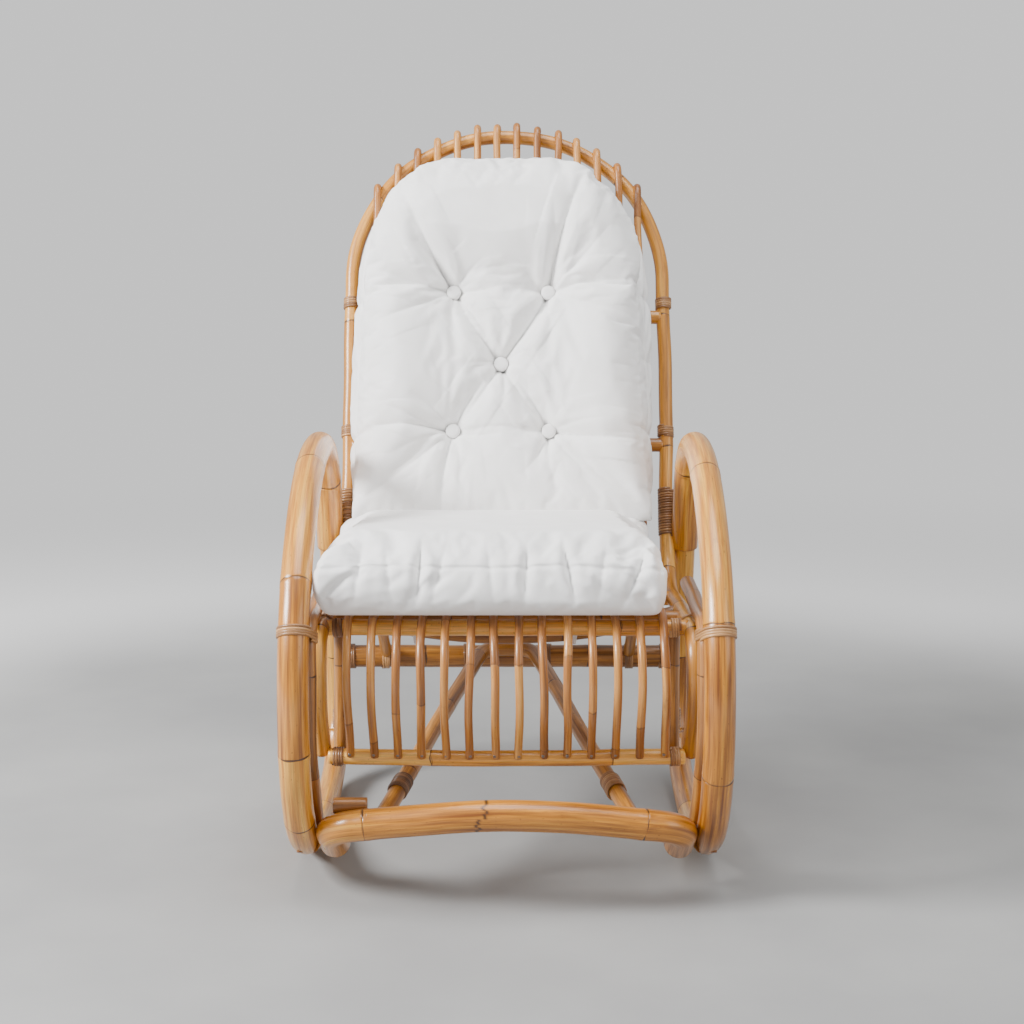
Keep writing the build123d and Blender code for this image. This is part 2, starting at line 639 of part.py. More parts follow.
ties = []
tie_top = seat_line(TIE_DEPTH) + pad_lift * sqrt(1 + SEAT_RISE**2)
for gap_number in TIE_GAPS:
    with BuildPart() as tie:
        with BuildSketch(Plane.XY.offset(tie_top - TIE_LENGTH)):
            with Locations((gap_number * ROD_PITCH, at((TIE_DEPTH, 0))[0])):
                Rectangle(TIE_WIDTH, TIE_THICKNESS)
        extrude(amount=TIE_LENGTH)
        add(seat_pad.part, mode=Mode.SUBTRACT)
    ties.append(tie.part)
save_group(ties, "cushion_ties")
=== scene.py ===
import math
import random

import bmesh
import bpy
from mathutils import Matrix, Vector, noise


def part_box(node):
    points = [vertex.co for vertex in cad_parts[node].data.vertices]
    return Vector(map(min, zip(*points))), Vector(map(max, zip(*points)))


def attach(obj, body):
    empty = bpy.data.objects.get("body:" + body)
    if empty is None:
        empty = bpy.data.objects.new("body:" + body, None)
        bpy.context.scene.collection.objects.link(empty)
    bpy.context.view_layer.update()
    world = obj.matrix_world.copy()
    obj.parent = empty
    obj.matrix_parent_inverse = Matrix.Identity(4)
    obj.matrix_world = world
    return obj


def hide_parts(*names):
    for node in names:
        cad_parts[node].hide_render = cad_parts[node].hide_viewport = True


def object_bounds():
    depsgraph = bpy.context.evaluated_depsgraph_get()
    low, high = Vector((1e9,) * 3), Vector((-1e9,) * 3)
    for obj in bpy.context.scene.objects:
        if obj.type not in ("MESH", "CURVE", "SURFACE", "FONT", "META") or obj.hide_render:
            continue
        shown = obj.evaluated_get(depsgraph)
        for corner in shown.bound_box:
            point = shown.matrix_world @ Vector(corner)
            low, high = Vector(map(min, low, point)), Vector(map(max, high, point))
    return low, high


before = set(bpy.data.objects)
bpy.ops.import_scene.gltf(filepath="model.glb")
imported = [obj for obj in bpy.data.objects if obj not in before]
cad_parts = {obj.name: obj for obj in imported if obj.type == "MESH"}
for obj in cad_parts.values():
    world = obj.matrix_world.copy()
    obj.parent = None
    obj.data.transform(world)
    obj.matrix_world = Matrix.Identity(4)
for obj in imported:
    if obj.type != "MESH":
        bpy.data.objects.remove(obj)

cad_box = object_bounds()

# ---- floor, light and camera --------------------------------
# A plain pale floor that runs out into the surround, one soft light from the front left, weaker
# ones from the right and above, and an even pale surround, brighter as seen than as a light.
MM = 0.001
HOOP_POLE = 42  # depths are measured from the centre line of the hoops' front


def paint(code):
    """An sRGB hex colour as the linear colour that a shader takes."""
    levels = [int(code[i : i + 2], 16) / 255 for i in (1, 3, 5)]
    linear = [c / 12.92 if c <= 0.04045 else ((c + 0.055) / 1.055) ** 2.4 for c in levels]
    return (*linear, 1.0)


def add(tree, kind, inputs=None, **settings):
    """Add a shader node, set its properties, and set or link its inputs."""
    made = tree.nodes.new(kind)
    for key, value in settings.items():
        setattr(made, key, value)
    for key, value in (inputs or {}).items():
        if isinstance(value, bpy.types.NodeSocket):
            tree.links.new(value, made.inputs[key])
        else:
            made.inputs[key].default_value = value
    return made


def blank_material(name):
    material = bpy.data.materials.new(name)
    material.use_nodes = True
    material.node_tree.nodes.clear()
    return material, material.node_tree


def ranged(tree, value, start, end, low=0.0, high=1.0, **settings):
    """Stretch a value that runs from start to end so that it runs from low to high."""
    limits = {"Value": value, "From Min": start, "From Max": end, "To Min": low, "To Max": high}
    return add(tree, "ShaderNodeMapRange", limits, **settings).outputs[0]


def blend(tree, share, first, second, **settings):
    """The colour a share of the way from the first to the second."""
    ends = {"Factor": share, "A": first, "B": second}
    return add(tree, "ShaderNodeMix", ends, data_type="RGBA", **settings).outputs[2]


def graded(tree, value, *stops):
    """The colour that a value picks from a ramp of (position, hex colour) stops."""
    ramp = add(tree, "ShaderNodeValToRGB", {"Fac": value})
    marks = ramp.color_ramp.elements
    for mark, (position, code) in ((marks[0], stops[0]), (marks[1], stops[-1])):
        mark.position = position
        mark.color = paint(code)
    for position, code in stops[1:-1]:
        marks.new(position).color = paint(code)
    return ramp.outputs["Color"]


SURROUND = paint("#E6E6E6")
SURROUND_SEEN = 1.15
SURROUND_LIGHT = 0.68

# sealed concrete floor: pale grey, faintly clouded, dull, running out into white
concrete, tree = blank_material("sealed_concrete")
spot = add(tree, "ShaderNodeTexCoord")
cloud = add(tree, "ShaderNodeTexNoise", {"Vector": spot.outputs["Object"], "Scale": 2.2, "Detail": 5.0})
tint = graded(tree, cloud.outputs["Fac"], (0.35, "#949494"), (0.68, "#A2A2A1"))
span = add(tree, "ShaderNodeVectorMath", {0: spot.outputs["Object"]}, operation="LENGTH")
distance = span.outputs["Value"]
far = ranged(tree, distance, 1.1, 1.9, interpolation_type="SMOOTHSTEP")
paler = blend(tree, far, tint, paint("#E0E0E0"))
skin = add(tree, "ShaderNodeBsdfPrincipled", {"Base Color": paler, "Roughness": 0.75})
ray = add(tree, "ShaderNodeLightPath")
haze = ranged(tree, distance, 1.5, 3.6, interpolation_type="SMOOTHSTEP")
seen_haze = add(tree, "ShaderNodeMath", {0: haze, 1: ray.outputs["Is Camera Ray"]}, operation="MULTIPLY")
glow = add(tree, "ShaderNodeEmission", {"Color": SURROUND, "Strength": SURROUND_SEEN})
sweep = add(
    tree, "ShaderNodeMixShader", {0: seen_haze.outputs[0], 1: skin.outputs["BSDF"], 2: glow.outputs[0]}
)
add(tree, "ShaderNodeOutputMaterial", {"Surface": sweep.outputs[0]})

FLOOR_SIZE = 60.0
floor_mesh = bpy.data.meshes.new("floor")
floor_mesh.from_pydata(
    [(x * FLOOR_SIZE, y * FLOOR_SIZE, 0) for x, y in ((-1, -1), (1, -1), (1, 1), (-1, 1))],
    [],
    [(0, 1, 2, 3)],
)
floor_mesh.materials.append(concrete)
floor = bpy.data.objects.new("floor", floor_mesh)
bpy.context.collection.objects.link(floor)

world = bpy.data.worlds.new("surround")
world.use_nodes = True
shine = world.node_tree.nodes["Background"]
shine.inputs["Color"].default_value = SURROUND
ray = add(world.node_tree, "ShaderNodeLightPath")
level = ranged(world.node_tree, ray.outputs["Is Camera Ray"], 0.0, 1.0, SURROUND_LIGHT, SURROUND_SEEN)
world.node_tree.links.new(level, shine.inputs["Strength"])
bpy.context.scene.world = world


def soft_light(name, place, target, size, power):
    lamp = bpy.data.lights.new(name, "AREA")
    lamp.shape = "RECTANGLE"
    lamp.size, lamp.size_y = size
    lamp.energy = power
    holder = bpy.data.objects.new(name, lamp)
    holder.location = place
    holder.rotation_euler = (Vector(target) - Vector(place)).to_track_quat("-Z", "Y").to_euler()
    bpy.context.collection.objects.link(holder)


soft_light("window_light", (-3.0, -1.3, 2.4), (0, 0, 0.5), (1.3, 1.1), 300)
soft_light("fill_light", (2.8, -1.8, 1.8), (0, 0, 0.5), (2.0, 2.0), 26)
soft_light("top_light", (0.2, -0.4, 3.4), (0, 0.1, 0.4), (2.0, 2.0), 75)

CAMERA_BACK = 2.4815  # from the front of the side loops
CAMERA_HEIGHT = 0.968
CAMERA_ASIDE = 0.0072
CAMERA_TILT = math.radians(9.6)
CAMERA_LENS = 68.9  # mm, on a sensor 36 mm wide
lens = bpy.data.cameras.new("camera")
lens.sensor_width = 36
lens.lens = CAMERA_LENS
camera = bpy.data.objects.new("camera", lens)
camera.location = (CAMERA_ASIDE, cad_box[0][1] + HOOP_POLE / 2 * MM - CAMERA_BACK, CAMERA_HEIGHT)
camera.rotation_euler = (math.pi / 2 - CAMERA_TILT, 0, 0)
bpy.context.collection.objects.link(camera)
bpy.context.scene.camera = camera

# ---- side loops: arm hoops and runners ----------------------
# Thick poles of manau cane, steamed and bent: the hoop makes the front of each side and the arm,
# the runner its foot and rear.  They are scarfed at the front of the foot and spliced below the arm.
origin_depth = -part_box("arm_hoop_left")[0][1] / MM - HOOP_POLE / 2
LOOP_X = 279
RUNNER_POLE = 38


def at(depth, height, x=0.0):
    """A point from its depth behind the front of the loops and its height, in millimetres."""
    return Vector((x, depth - origin_depth, height)) * MM


def bent(corners, bends, step=5.0):
    """Points along straight runs joined by round bends, a step apart in millimetres."""
    points = [corners[0]]
    for before, corner, after, bend in zip(corners, corners[1:], corners[2:], bends):
        back = (before - corner).normalized()
        ahead = (after - corner).normalized()
        half_turn = (math.pi - back.angle(ahead)) / 2
        reach = bend * MM * math.tan(half_turn)
        start = corner + back * reach
        centre = corner + (back + ahead).normalized() * (bend * MM / math.cos(half_turn))
        first = start - centre
        side = -back * first.length
        count = max(2, int(2 * half_turn * bend / step))
        for i in range(count + 1):
            turn = 2 * half_turn * i / count
            points.append(centre + first * math.cos(turn) + side * math.sin(turn))
    points.append(corners[-1])
    return evenly(points, step)


def evenly(points, step):
    """The same path as points a step apart in millimetres."""
    lengths = [0.0]
    for a, b in zip(points, points[1:]):
        lengths.append(lengths[-1] + (b - a).length)
    count = max(2, round(lengths[-1] / (step * MM)))
    spread = []
    k = 0
    for i in range(count + 1):
        goal = lengths[-1] * i / count
        while k < len(points) - 2 and lengths[k + 1] < goal:
            k += 1
        span = max(lengths[k + 1] - lengths[k], 1e-9)
        spread.append(points[k].lerp(points[k + 1], min(1.0, (goal - lengths[k]) / span)))
    return spread


def marks_along(tree, place, wide, long, detail, roughness=0.5):
    """Noise whose marks are so wide round the pole and so long along it, in metres."""
    scaled = add(tree, "ShaderNodeMapping", {"Vector": place, "Scale": (1 / wide, 1 / long, 1)})
    settings = {"Vector": scaled.outputs[0], "Scale": 1.0, "Detail": detail, "Roughness": roughness}
    return add(tree, "ShaderNodeTexNoise", settings).outputs["Fac"]


def manau(name, pale, body, dark, gloss, tone_low, tone_high):
    """Lacquered cane: fine lengthwise fibres, streaks and stains under a worn clear lacquer."""
    material, tree = blank_material(name)
    place = add(tree, "ShaderNodeUVMap", uv_map="along").outputs["UV"]
    fibre = marks_along(tree, place, 0.0011, 0.045, 3.0)
    streak = marks_along(tree, place, 0.006, 0.16, 4.0)
    stain = marks_along(tree, place, 0.03, 0.07, 6.0, 0.65)
    speck = marks_along(tree, place, 0.0025, 0.006, 2.0)
    # each length between growth nodes has its own tone, which the streaks vary
    tone = add(tree, "ShaderNodeAttribute", attribute_name="tone")
    mixed = add(
        tree, "ShaderNodeMath", {0: tone.outputs["Fac"], 1: 0.45, 2: streak}, operation="MULTIPLY_ADD"
    )
    middle = (tone_low + tone_high) / 2
    colour = graded(tree, mixed.outputs[0], (tone_low, dark), (middle, body), (tone_high, pale))
    fibre_shade = ranged(tree, fibre, 0.3, 0.62, 0.68, 1.05)
    colour = blend(tree, 1.0, colour, fibre_shade, blend_type="MULTIPLY")
    colour = blend(tree, ranged(tree, stain, 0.60, 0.74, 0.0, 0.55), colour, paint(dark))
    colour = blend(tree, ranged(tree, speck, 0.66, 0.74, 0.0, 0.6), colour, paint("#5A3412"))
    ring = add(tree, "ShaderNodeAttribute", attribute_name="ring")
    colour = blend(tree, ring.outputs["Fac"], colour, paint("#3E2410"))
    dullness = ranged(tree, streak, 0.3, 0.7, gloss + 0.1, gloss)
    relief = add(tree, "ShaderNodeBump", {"Height": fibre, "Strength": 0.25, "Distance": 0.0006})
    skin = add(
        tree, "ShaderNodeBsdfPrincipled",
        {
            "Base Color": colour, "Roughness": dullness,
            "Normal": relief.outputs["Normal"], "Coat Weight": 0.5, "Coat Roughness": 0.18,
        },
    )
    add(tree, "ShaderNodeOutputMaterial", {"Surface": skin.outputs["BSDF"]})
    return material


honey_cane = manau("lacquered_manau", "#EEB24A", "#CC8424", "#7E440C", 0.27, 0.42, 1.0)


# rings of points round a growth node: distance from it in mm, and how dark its scar is there
NODE_RINGS = ((-9, 0), (-4, 0), (-1.6, 0), (-0.7, 0.9), (0, 1.0), (0.7, 0.9), (1.6, 0), (4, 0), (9, 0))
NODE_SWELL, SWELL_REACH = 0.028, 9
SCAR_GROOVE, SCAR_REACH = 0.016, 1.1
END_DOME = ((0.90, 0.10), (0.62, 0.17))  # rings of a sawn end: width and rise as shares


def scene_object(name, mesh):
    made = bpy.data.objects.new(name, mesh)
    bpy.context.collection.objects.link(made)
    return made


def strip_mesh(name, verts, faces, face_uv, material, **values):
    """A smooth mesh with its lengthwise UV map and each named value at its points."""
    mesh = bpy.data.meshes.new(name)
    mesh.from_pydata(verts, [], faces)
    layer = mesh.uv_layers.new(name="along")
    for polygon, corners in zip(mesh.polygons, face_uv):
        polygon.use_smooth = True
        for loop_index, uv in zip(polygon.loop_indices, corners):
            layer.data[loop_index].uv = uv
    for value_name, levels in values.items():
        mesh.attributes.new(value_name, "FLOAT", "POINT").data.foreach_set("value", levels)
    mesh.materials.append(material)
    return mesh


def cane(
    name, node, route, pole, material, nodes,
    thin=1.0, crook=0.0, seed=1, around=28, scar=1.0,
):
    """A length of cane along a route: swollen at its growth nodes, each with a dark ring scar.

    It stands for the CAD node.  nodes are distances in mm from the start, and thin is the thickness
    of the far end as a share.
    """
    rng = random.Random(seed)
    lengths = [0.0]
    for a, b in zip(route, route[1:]):
        lengths.append(lengths[-1] + (b - a).length / MM)
    total = lengths[-1]
    stops = {round(s, 2): 0.0 for s in lengths}
    for spot in nodes:
        for shift, mark in NODE_RINGS:
            if 2 < spot + shift < total - 2:
                stops[round(spot + shift, 2)] = mark
    taken = sorted(stops)
    edges = [0.0] + sorted(nodes) + [total + 1]
    tones = [rng.uniform(0.15, 0.85) for _ in edges]
    phase = [rng.uniform(0, 2 * math.pi) for _ in range(4)]
    radius = pole / 2 * MM
    verts, rings, tone_of, loops = [], [], [], []
    k = 0
    n1 = (route[1] - route[0]).orthogonal().normalized()
    for s in taken:
        while k < len(route) - 2 and lengths[k + 1] < s:
            k += 1
        share = min(1.0, max(0.0, (s - lengths[k]) / max(lengths[k + 1] - lengths[k], 1e-6)))
        centre = route[k].lerp(route[k + 1], share)
        lo, hi = max(0, k - 1), min(len(route) - 1, k + 2)
        tangent = (route[hi] - route[lo]).normalized()
        n1 = (n1 - tangent * tangent.dot(n1)).normalized()
        n2 = tangent.cross(n1)
        sway = crook * MM * (math.sin(s / 61 + phase[0]) + 0.6 * math.sin(s / 23 + phase[1]))
        nod = crook * MM * (math.sin(s / 73 + phase[2]))
        centre = centre + n1 * sway + n2 * nod
        nearest = min([abs(s - n) for n in nodes], default=999)
        swell = 1 + NODE_SWELL * math.exp(-((nearest / SWELL_REACH) ** 2))
        swell -= SCAR_GROOVE * math.exp(-((nearest / SCAR_REACH) ** 2))
        stage = sum(1 for e in sorted(nodes) if e < s)
        girth = radius * (1 + (thin - 1) * s / total) * swell
        loop = []
        for j in range(around):
            angle = 2 * math.pi * j / around
            wave = 0.0
            if nearest < 5:
                wave = 1.1 * math.sin(angle * 2 + phase[3] + stage)
                wave = MM * (wave + 0.5 * math.sin(angle * 5 + stage * 2))
            lumpy = 1 + 0.006 * math.sin(angle * 3 + s / 90 + phase[1])
            verts.append(
                centre + (n1 * math.cos(angle) + n2 * math.sin(angle)) * girth * lumpy + tangent * wave
            )
            rings.append(stops[s] * scar)
            tone_of.append(tones[stage])
            loop.append(len(verts) - 1)
        loops.append((s, girth, loop, centre, tangent))
    faces, face_uv = [], []
    round_length = 2 * math.pi * radius
    offset = rng.uniform(0, 40)
    for (s0, _, a, _, _), (s1, _, b, _, _) in zip(loops, loops[1:]):
        for j in range(around):
            nxt = (j + 1) % around
            faces.append((a[j], a[nxt], b[nxt], b[j]))
            u0, u1 = j / around * round_length, (j + 1) / around * round_length
            v0, v1 = offset + s0 * MM, offset + s1 * MM
            face_uv.append([(u0, v0), (u1, v0), (u1, v1), (u0, v1)])
    for (_, girth, loop, centre, tangent), away in ((loops[0], -1), (loops[-1], 1)):
        previous = loop
        for shrink, out in END_DOME:
            fresh = []
            for index in loop:
                rise = tangent * away * girth * out * 0.35
                verts.append(centre + (verts[index] - centre) * shrink + rise)
                rings.append(0.0)
                tone_of.append(0.2)
                fresh.append(len(verts) - 1)
            for j in range(around):
                nxt = (j + 1) % around
                quad = (previous[j], fresh[j], fresh[nxt], previous[nxt])
                faces.append(quad if away < 0 else quad[::-1])
                corners = ((j, 0), (j, MM), (nxt, MM), (nxt, 0))
                face_uv.append([(u * MM, offset + v) for u, v in corners])
            previous = fresh
        faces.append(tuple(previous[::-1]) if away < 0 else tuple(previous))
        face_uv.append([(j * MM, offset) for j in range(around)])
    mesh = strip_mesh(name, verts, faces, face_uv, material, ring=rings, tone=tone_of)
    stick = scene_object(name, mesh)
    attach(stick, "root")
    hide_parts(node)
    fix_normals(mesh)
    return stick


def fix_normals(mesh):
    work = bmesh.new()
    work.from_mesh(mesh)
    bmesh.ops.recalc_face_normals(work, faces=work.faces)
    work.to_mesh(mesh)
    work.free()


# the loop's outline: a rocker arc whose lowest point is where it touches the floor, then bends
ROCKER_RADIUS = 850
ROCKER_CONTACT = 405
ROCKER_FRONT, ROCKER_REAR = math.radians(15.5), math.radians(10)
ARM_HEIGHT = 580
ARM_CORNER = 505
LOOP_REAR = 663
KNEE_HEIGHT = 400
KNEE_SLOPE = math.radians(38)
low = RUNNER_POLE / 2
front_touch = ROCKER_CONTACT - ROCKER_RADIUS * math.sin(ROCKER_FRONT)
front_touch_height = low + ROCKER_RADIUS * (1 - math.cos(ROCKER_FRONT))
corner_reach = ROCKER_RADIUS * math.tan((ROCKER_FRONT + ROCKER_REAR) / 2) * math.cos(ROCKER_FRONT)
rocker_corner = (front_touch + corner_reach, front_touch_height - corner_reach * math.tan(ROCKER_FRONT))
heel = (LOOP_REAR, rocker_corner[1] + (LOOP_REAR - rocker_corner[0]) * math.tan(ROCKER_REAR))


def on_rear_line(height):
    """Depth and height of a point on the straight rear of the loop."""
    share = (ARM_HEIGHT - height) / (ARM_HEIGHT - heel[1])
    return ARM_CORNER + share * (LOOP_REAR - ARM_CORNER), height


loop_corners = [
    on_rear_line(400),
    (ARM_CORNER, ARM_HEIGHT),
    ((ARM_HEIGHT - KNEE_HEIGHT) / math.tan(KNEE_SLOPE), ARM_HEIGHT),
    (0, KNEE_HEIGHT),
    (0, front_touch_height + front_touch * math.tan(ROCKER_FRONT)),
    rocker_corner,
    heel,
    on_rear_line(399.9),
]
loop_bends = [150, 430, 250, 215, ROCKER_RADIUS, 98]
SCARF = 0.585  # where the hoop meets the runner, as a share of the loop
REACH = 0.05  # how far each runs past it
SCARF_SLANT = math.radians(14)


SCARF_END = 0.12


def scarf_cut(stick, point, normal, keep_behind):
    """Flatten the part of a pole's end that lies past the scarf's plane onto it."""
    mesh = stick.data
    for vertex in mesh.vertices:
        past = (vertex.co - point).dot(normal)
        if (past > 0) == keep_behind and (vertex.co - point).length < SCARF_END:
            vertex.co -= normal * past


def part_of(route, start, end):
    """The stretch of a route between two shares of its points."""
    count = len(route) - 1
    return route[int(round(start * count)) : int(round(end * count)) + 1]


HOOP_NODES = {"left": (118, 395, 640, 870, 990), "right": (150, 420, 700, 905)}
for side, sign in (("left", -1), ("right", 1)):
    route = bent([at(*c, x=sign * LOOP_X) for c in loop_corners], loop_bends, step=4.0)
    middle = int(round(SCARF * (len(route) - 1)))
    along = (route[middle + 1] - route[middle - 1]).normalized()
    inward = Vector((-sign * math.cos(SCARF_SLANT), 0, 0))
    scarf_normal = (along * math.sin(SCARF_SLANT) + inward).normalized()
    hoop = cane(
        f"hoop_{side}", f"arm_hoop_{side}", part_of(route, 0, SCARF + REACH), HOOP_POLE, honey_cane,
        HOOP_NODES[side], seed=11 + sign,
    )
    scarf_cut(hoop, route[middle], scarf_normal, True)
    runner = cane(
        f"rocker_{side}", f"runner_{side}", part_of(route, SCARF - REACH, 1), RUNNER_POLE, honey_cane,
        (310, 560, 705), thin=0.9, seed=21 + sign,
    )
    scarf_cut(runner, route[middle], scarf_normal, False)

# a cane plug holds each scarf at the front
rod_cane = manau("oiled_cane", "#DA9C4C", "#AC6C2A", "#683A12", 0.36, 0.38, 1.05)
PLUG = 9


def domed_pin(name, centre, out, width, stands, material):
    """A short round pin whose head is slightly domed and stands so far out."""
    mesh = bpy.data.meshes.new(name)
    work = bmesh.new()
    frame_x = out.orthogonal().normalized()
    frame_y = out.cross(frame_x)
    previous = None
    head = ((1.0, 0.5), (0.93, 0.8), (0.6, 1.0), (0.2, 1.08))
    for share, rise in [(1.0, -6.0)] + [(share, stands * rise) for share, rise in head]:
        loop = []
        for j in range(20):
            angle = 2 * math.pi * j / 20
            spoke = frame_x * math.cos(angle) + frame_y * math.sin(angle)
            loop.append(work.verts.new(centre + spoke * width / 2 * share * MM + out * rise * MM))
        if previous:
            for j in range(20):
                face = work.faces.new((previous[j], previous[(j + 1) % 20], loop[(j + 1) % 20], loop[j]))
                face.smooth = True
        else:
            work.faces.new(loop[::-1])
        previous = loop
    work.faces.new(previous)
    bmesh.ops.recalc_face_normals(work, faces=work.faces)
    work.to_mesh(mesh)
    work.free()
    mesh.materials.append(material)
    pin = scene_object(name, mesh)
    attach(pin, "root")
    return pin


for side, sign in (("left", -1), ("right", 1)):
    route = bent([at(*c, x=sign * LOOP_X) for c in loop_corners], loop_bends, step=2.0)
    spot = int(round(0.55 * (len(route) - 1)))
    along = (route[spot + 1] - route[spot - 1]).normalized()
    out = -Vector((1, 0, 0)).cross(along)
    centre = route[spot] + out * (HOOP_POLE / 2 - 0.6) * MM + Vector((sign * 6 * MM, 0, 0))
    plug = domed_pin(f"plug_{side}", centre, out, PLUG, 1.2, rod_cane)
    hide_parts(f"scarf_plug_{side}")

# ---- braces and stretcher of the side loops -----------------
# Thin poles run from under the arms' lashings forward and down behind the hoops; a thick bowed
# pole, split by a drying crack, ties the two loops together at the front.
BRACE_POLE = 22
BRACE_X = 262
BRACE_CORNERS = ((308, 391), (35, 391), (35, 215), (112, 96))
# the braces and the stub take a darker copy of the cane: painted shade for where they lie behind the
# hoops and the stretcher
shaded_cane = manau("shaded_manau", "#D79A4C", "#AA6E2E", "#66401A", 0.40, 0.40, 1.05)
for side, sign in (("left", -1), ("right", 1)):
    route = bent([at(*c, x=sign * BRACE_X) for c in BRACE_CORNERS], [42, 110])
    cane(
        f"brace_{side}", f"hoop_brace_{side}", route, BRACE_POLE, shaded_cane, (96, 322, 470),
        thin=0.95, crook=0.7, seed=31 + sign, around=20,
    )

STRETCHER_POLE = 42
STRETCHER_SIDE = 237  # where it bends back, from the middle
STRETCHER_MIDDLE = (2, 147)
STRETCHER_BEND = (36, 112)
STRETCHER_END = (112, 66)


def on_stretcher(x):
    """Depth and height of the stretcher's line before its bow, a distance from the middle."""
    share = x / STRETCHER_SIDE
    return [a + (b - a) * share for a, b in zip(STRETCHER_MIDDLE, STRETCHER_BEND)]


stretcher_corners = [
    at(*STRETCHER_END, -STRETCHER_SIDE),
    at(*STRETCHER_BEND, -STRETCHER_SIDE),
    at(*STRETCHER_MIDDLE, 0),
    at(*STRETCHER_BEND, STRETCHER_SIDE),
    at(*STRETCHER_END, STRETCHER_SIDE),
]
stretcher_route = bent(stretcher_corners, [40, 500, 40], step=1.8)
stretcher = cane(
    "stretcher", "front_stretcher", stretcher_route, STRETCHER_POLE, honey_cane, (128, 505), crook=0.6,
    seed=41, around=56,
)
# the crack is a dark zigzag across the front of the pole, left of the middle
CRACK_X, CRACK_WIDTH = -33, 3.4
for vertex in stretcher.data.vertices:
    x = vertex.co.x / MM
    across = (vertex.co.z / MM - 140) / (STRETCHER_POLE / 2)
    crack = CRACK_X + 9 * across + 3.5 * math.sin(across * 6) + 2.5 * math.sin(across * 17)
    dark = 1.0 - abs(x - crack) / CRACK_WIDTH
    if dark > 0 and vertex.co.y < at(20, 0).y:
        stretcher.data.attributes["ring"].data[vertex.index].value = min(1.0, 1.3 * dark)

# the stub of pole nailed behind its left end
STUB_POLE = 22
STUB_ENDS = (-233, -188)
stub_reach = (STRETCHER_POLE + STUB_POLE) / 2 * math.sqrt(0.5)
stub_place = [c + stub_reach for c in on_stretcher(-sum(STUB_ENDS) / 2)]
cane(
    "stub", "stretcher_stub", evenly([at(*stub_place, x=x) for x in STUB_ENDS], 3.0),
    STUB_POLE, shaded_cane, (), seed=43, around=20,
)

# ---- rear rail and V brace ----------------------------------
# A straight pole between the runners, and one thinner pole bent double in front of it, whose
# two legs spread down to the stretcher.  Both are painted dark: shade from under the seat.
# a darker copy of the cane, painted shade for the parts under the seat: rear rail, V brace, seat rails
# and posts
under_seat_shade_cane = manau("under_seat_shade_manau", "#D6923A", "#A4691F", "#573208", 0.38, 0.40, 1.05)
REAR_RAIL_POLE = 36
REAR_RAIL_END = 262
REAR_RAIL_HEIGHT = 207
rear_rail_place = on_rear_line(REAR_RAIL_HEIGHT)
cane(
    "rear_rail", "rear_cross_rail",
    evenly([at(*rear_rail_place, x=x) for x in (-REAR_RAIL_END, REAR_RAIL_END)], 4.0),
    REAR_RAIL_POLE, under_seat_shade_cane, (130, 392), crook=0.4, seed=51, around=26,
)

V_POLE = 24
V_FOOT = 172
V_TOP = 40
apex_reach = (REAR_RAIL_POLE + V_POLE) / 2
apex = (rear_rail_place[0] - 0.8 * apex_reach, rear_rail_place[1] + 0.6 * apex_reach)
v_foot = on_stretcher(V_FOOT)
v_corners = [at(*v_foot, -V_FOOT), at(*apex, -V_TOP), at(*apex, V_TOP), at(*v_foot, V_FOOT)]
v_route = bent(v_corners, [34, 34])
cane(
    "v_brace", "v_brace", v_route, V_POLE, under_seat_shade_cane, (150, 370, 560, 800, 1050), thin=0.97, crook=0.7,
    seed=53, around=20,
)

# ---- seat side rails and back hoop --------------------------
# Each side rail comes out of the splice with the back hoop, runs along the seat and down the side
# of the front panel.  The back hoop is one pole bent in a half round at the top.
SEAT_REAR = (523, 335)
SEAT_FRONT = (72, 371)
BACK_ANGLE = math.radians(22.5)
BACK_LENGTH = 762
HALF_SEAT = 252
SIDE_POLE = 24
BACK_POLE = 22
SPLICE_TOP = 100
PANEL_BELLY = (62, 285)
PANEL_FOOT = (106, 198)
frame_cane = manau("oiled_manau", "#EFB04E", "#CB8628", "#7E4A12", 0.36, 0.40, 1.05)


def back_point(along, out=0.0):
    """Depth and height of a point on the back: along it from the seat corner, out to the sitter."""
    depth = SEAT_REAR[0] + along * math.sin(BACK_ANGLE) - out * math.cos(BACK_ANGLE)
    height = SEAT_REAR[1] + along * math.cos(BACK_ANGLE) + out * math.sin(BACK_ANGLE)
    return depth, height


def seat_line(depth):
    """Height of the seat's side rails at a depth."""
    fall, run = SEAT_REAR[1] - SEAT_FRONT[1], SEAT_REAR[0] - SEAT_FRONT[0]
    return SEAT_REAR[1] + (depth - SEAT_REAR[0]) * fall / run


rail_corners = [back_point(SPLICE_TOP), SEAT_REAR, SEAT_FRONT, PANEL_BELLY, PANEL_FOOT]
for side, sign in (("left", -1), ("right", 1)):
    route = bent([at(*c, x=sign * HALF_SEAT) for c in rail_corners], [95, 48, 105])
    cane(
        f"side_rail_{side}", f"seat_side_rail_{side}", route, SIDE_POLE, frame_cane, (70, 300, 505, 700),
        crook=0.8, seed=61 + sign, around=22,
    )

ARCH_FOOT = BACK_LENGTH - HALF_SEAT
ARCH_STEPS = 80
arch = [at(*back_point(SPLICE_TOP), x=-HALF_SEAT), at(*back_point(ARCH_FOOT), x=-HALF_SEAT)]
for i in range(1, ARCH_STEPS):
    angle = math.pi * i / ARCH_STEPS
    rise = ARCH_FOOT + HALF_SEAT * math.sin(angle)
    arch.append(at(*back_point(rise), x=-HALF_SEAT * math.cos(angle)))
arch += [at(*back_point(ARCH_FOOT), x=HALF_SEAT), at(*back_point(SPLICE_TOP), x=HALF_SEAT)]
cane(
    "back_hoop", "back_hoop", evenly(arch, 4.0), BACK_POLE, frame_cane,
    (160, 340, 560, 790, 1010, 1260, 1480), crook=1.0, seed=65, around=22,
)

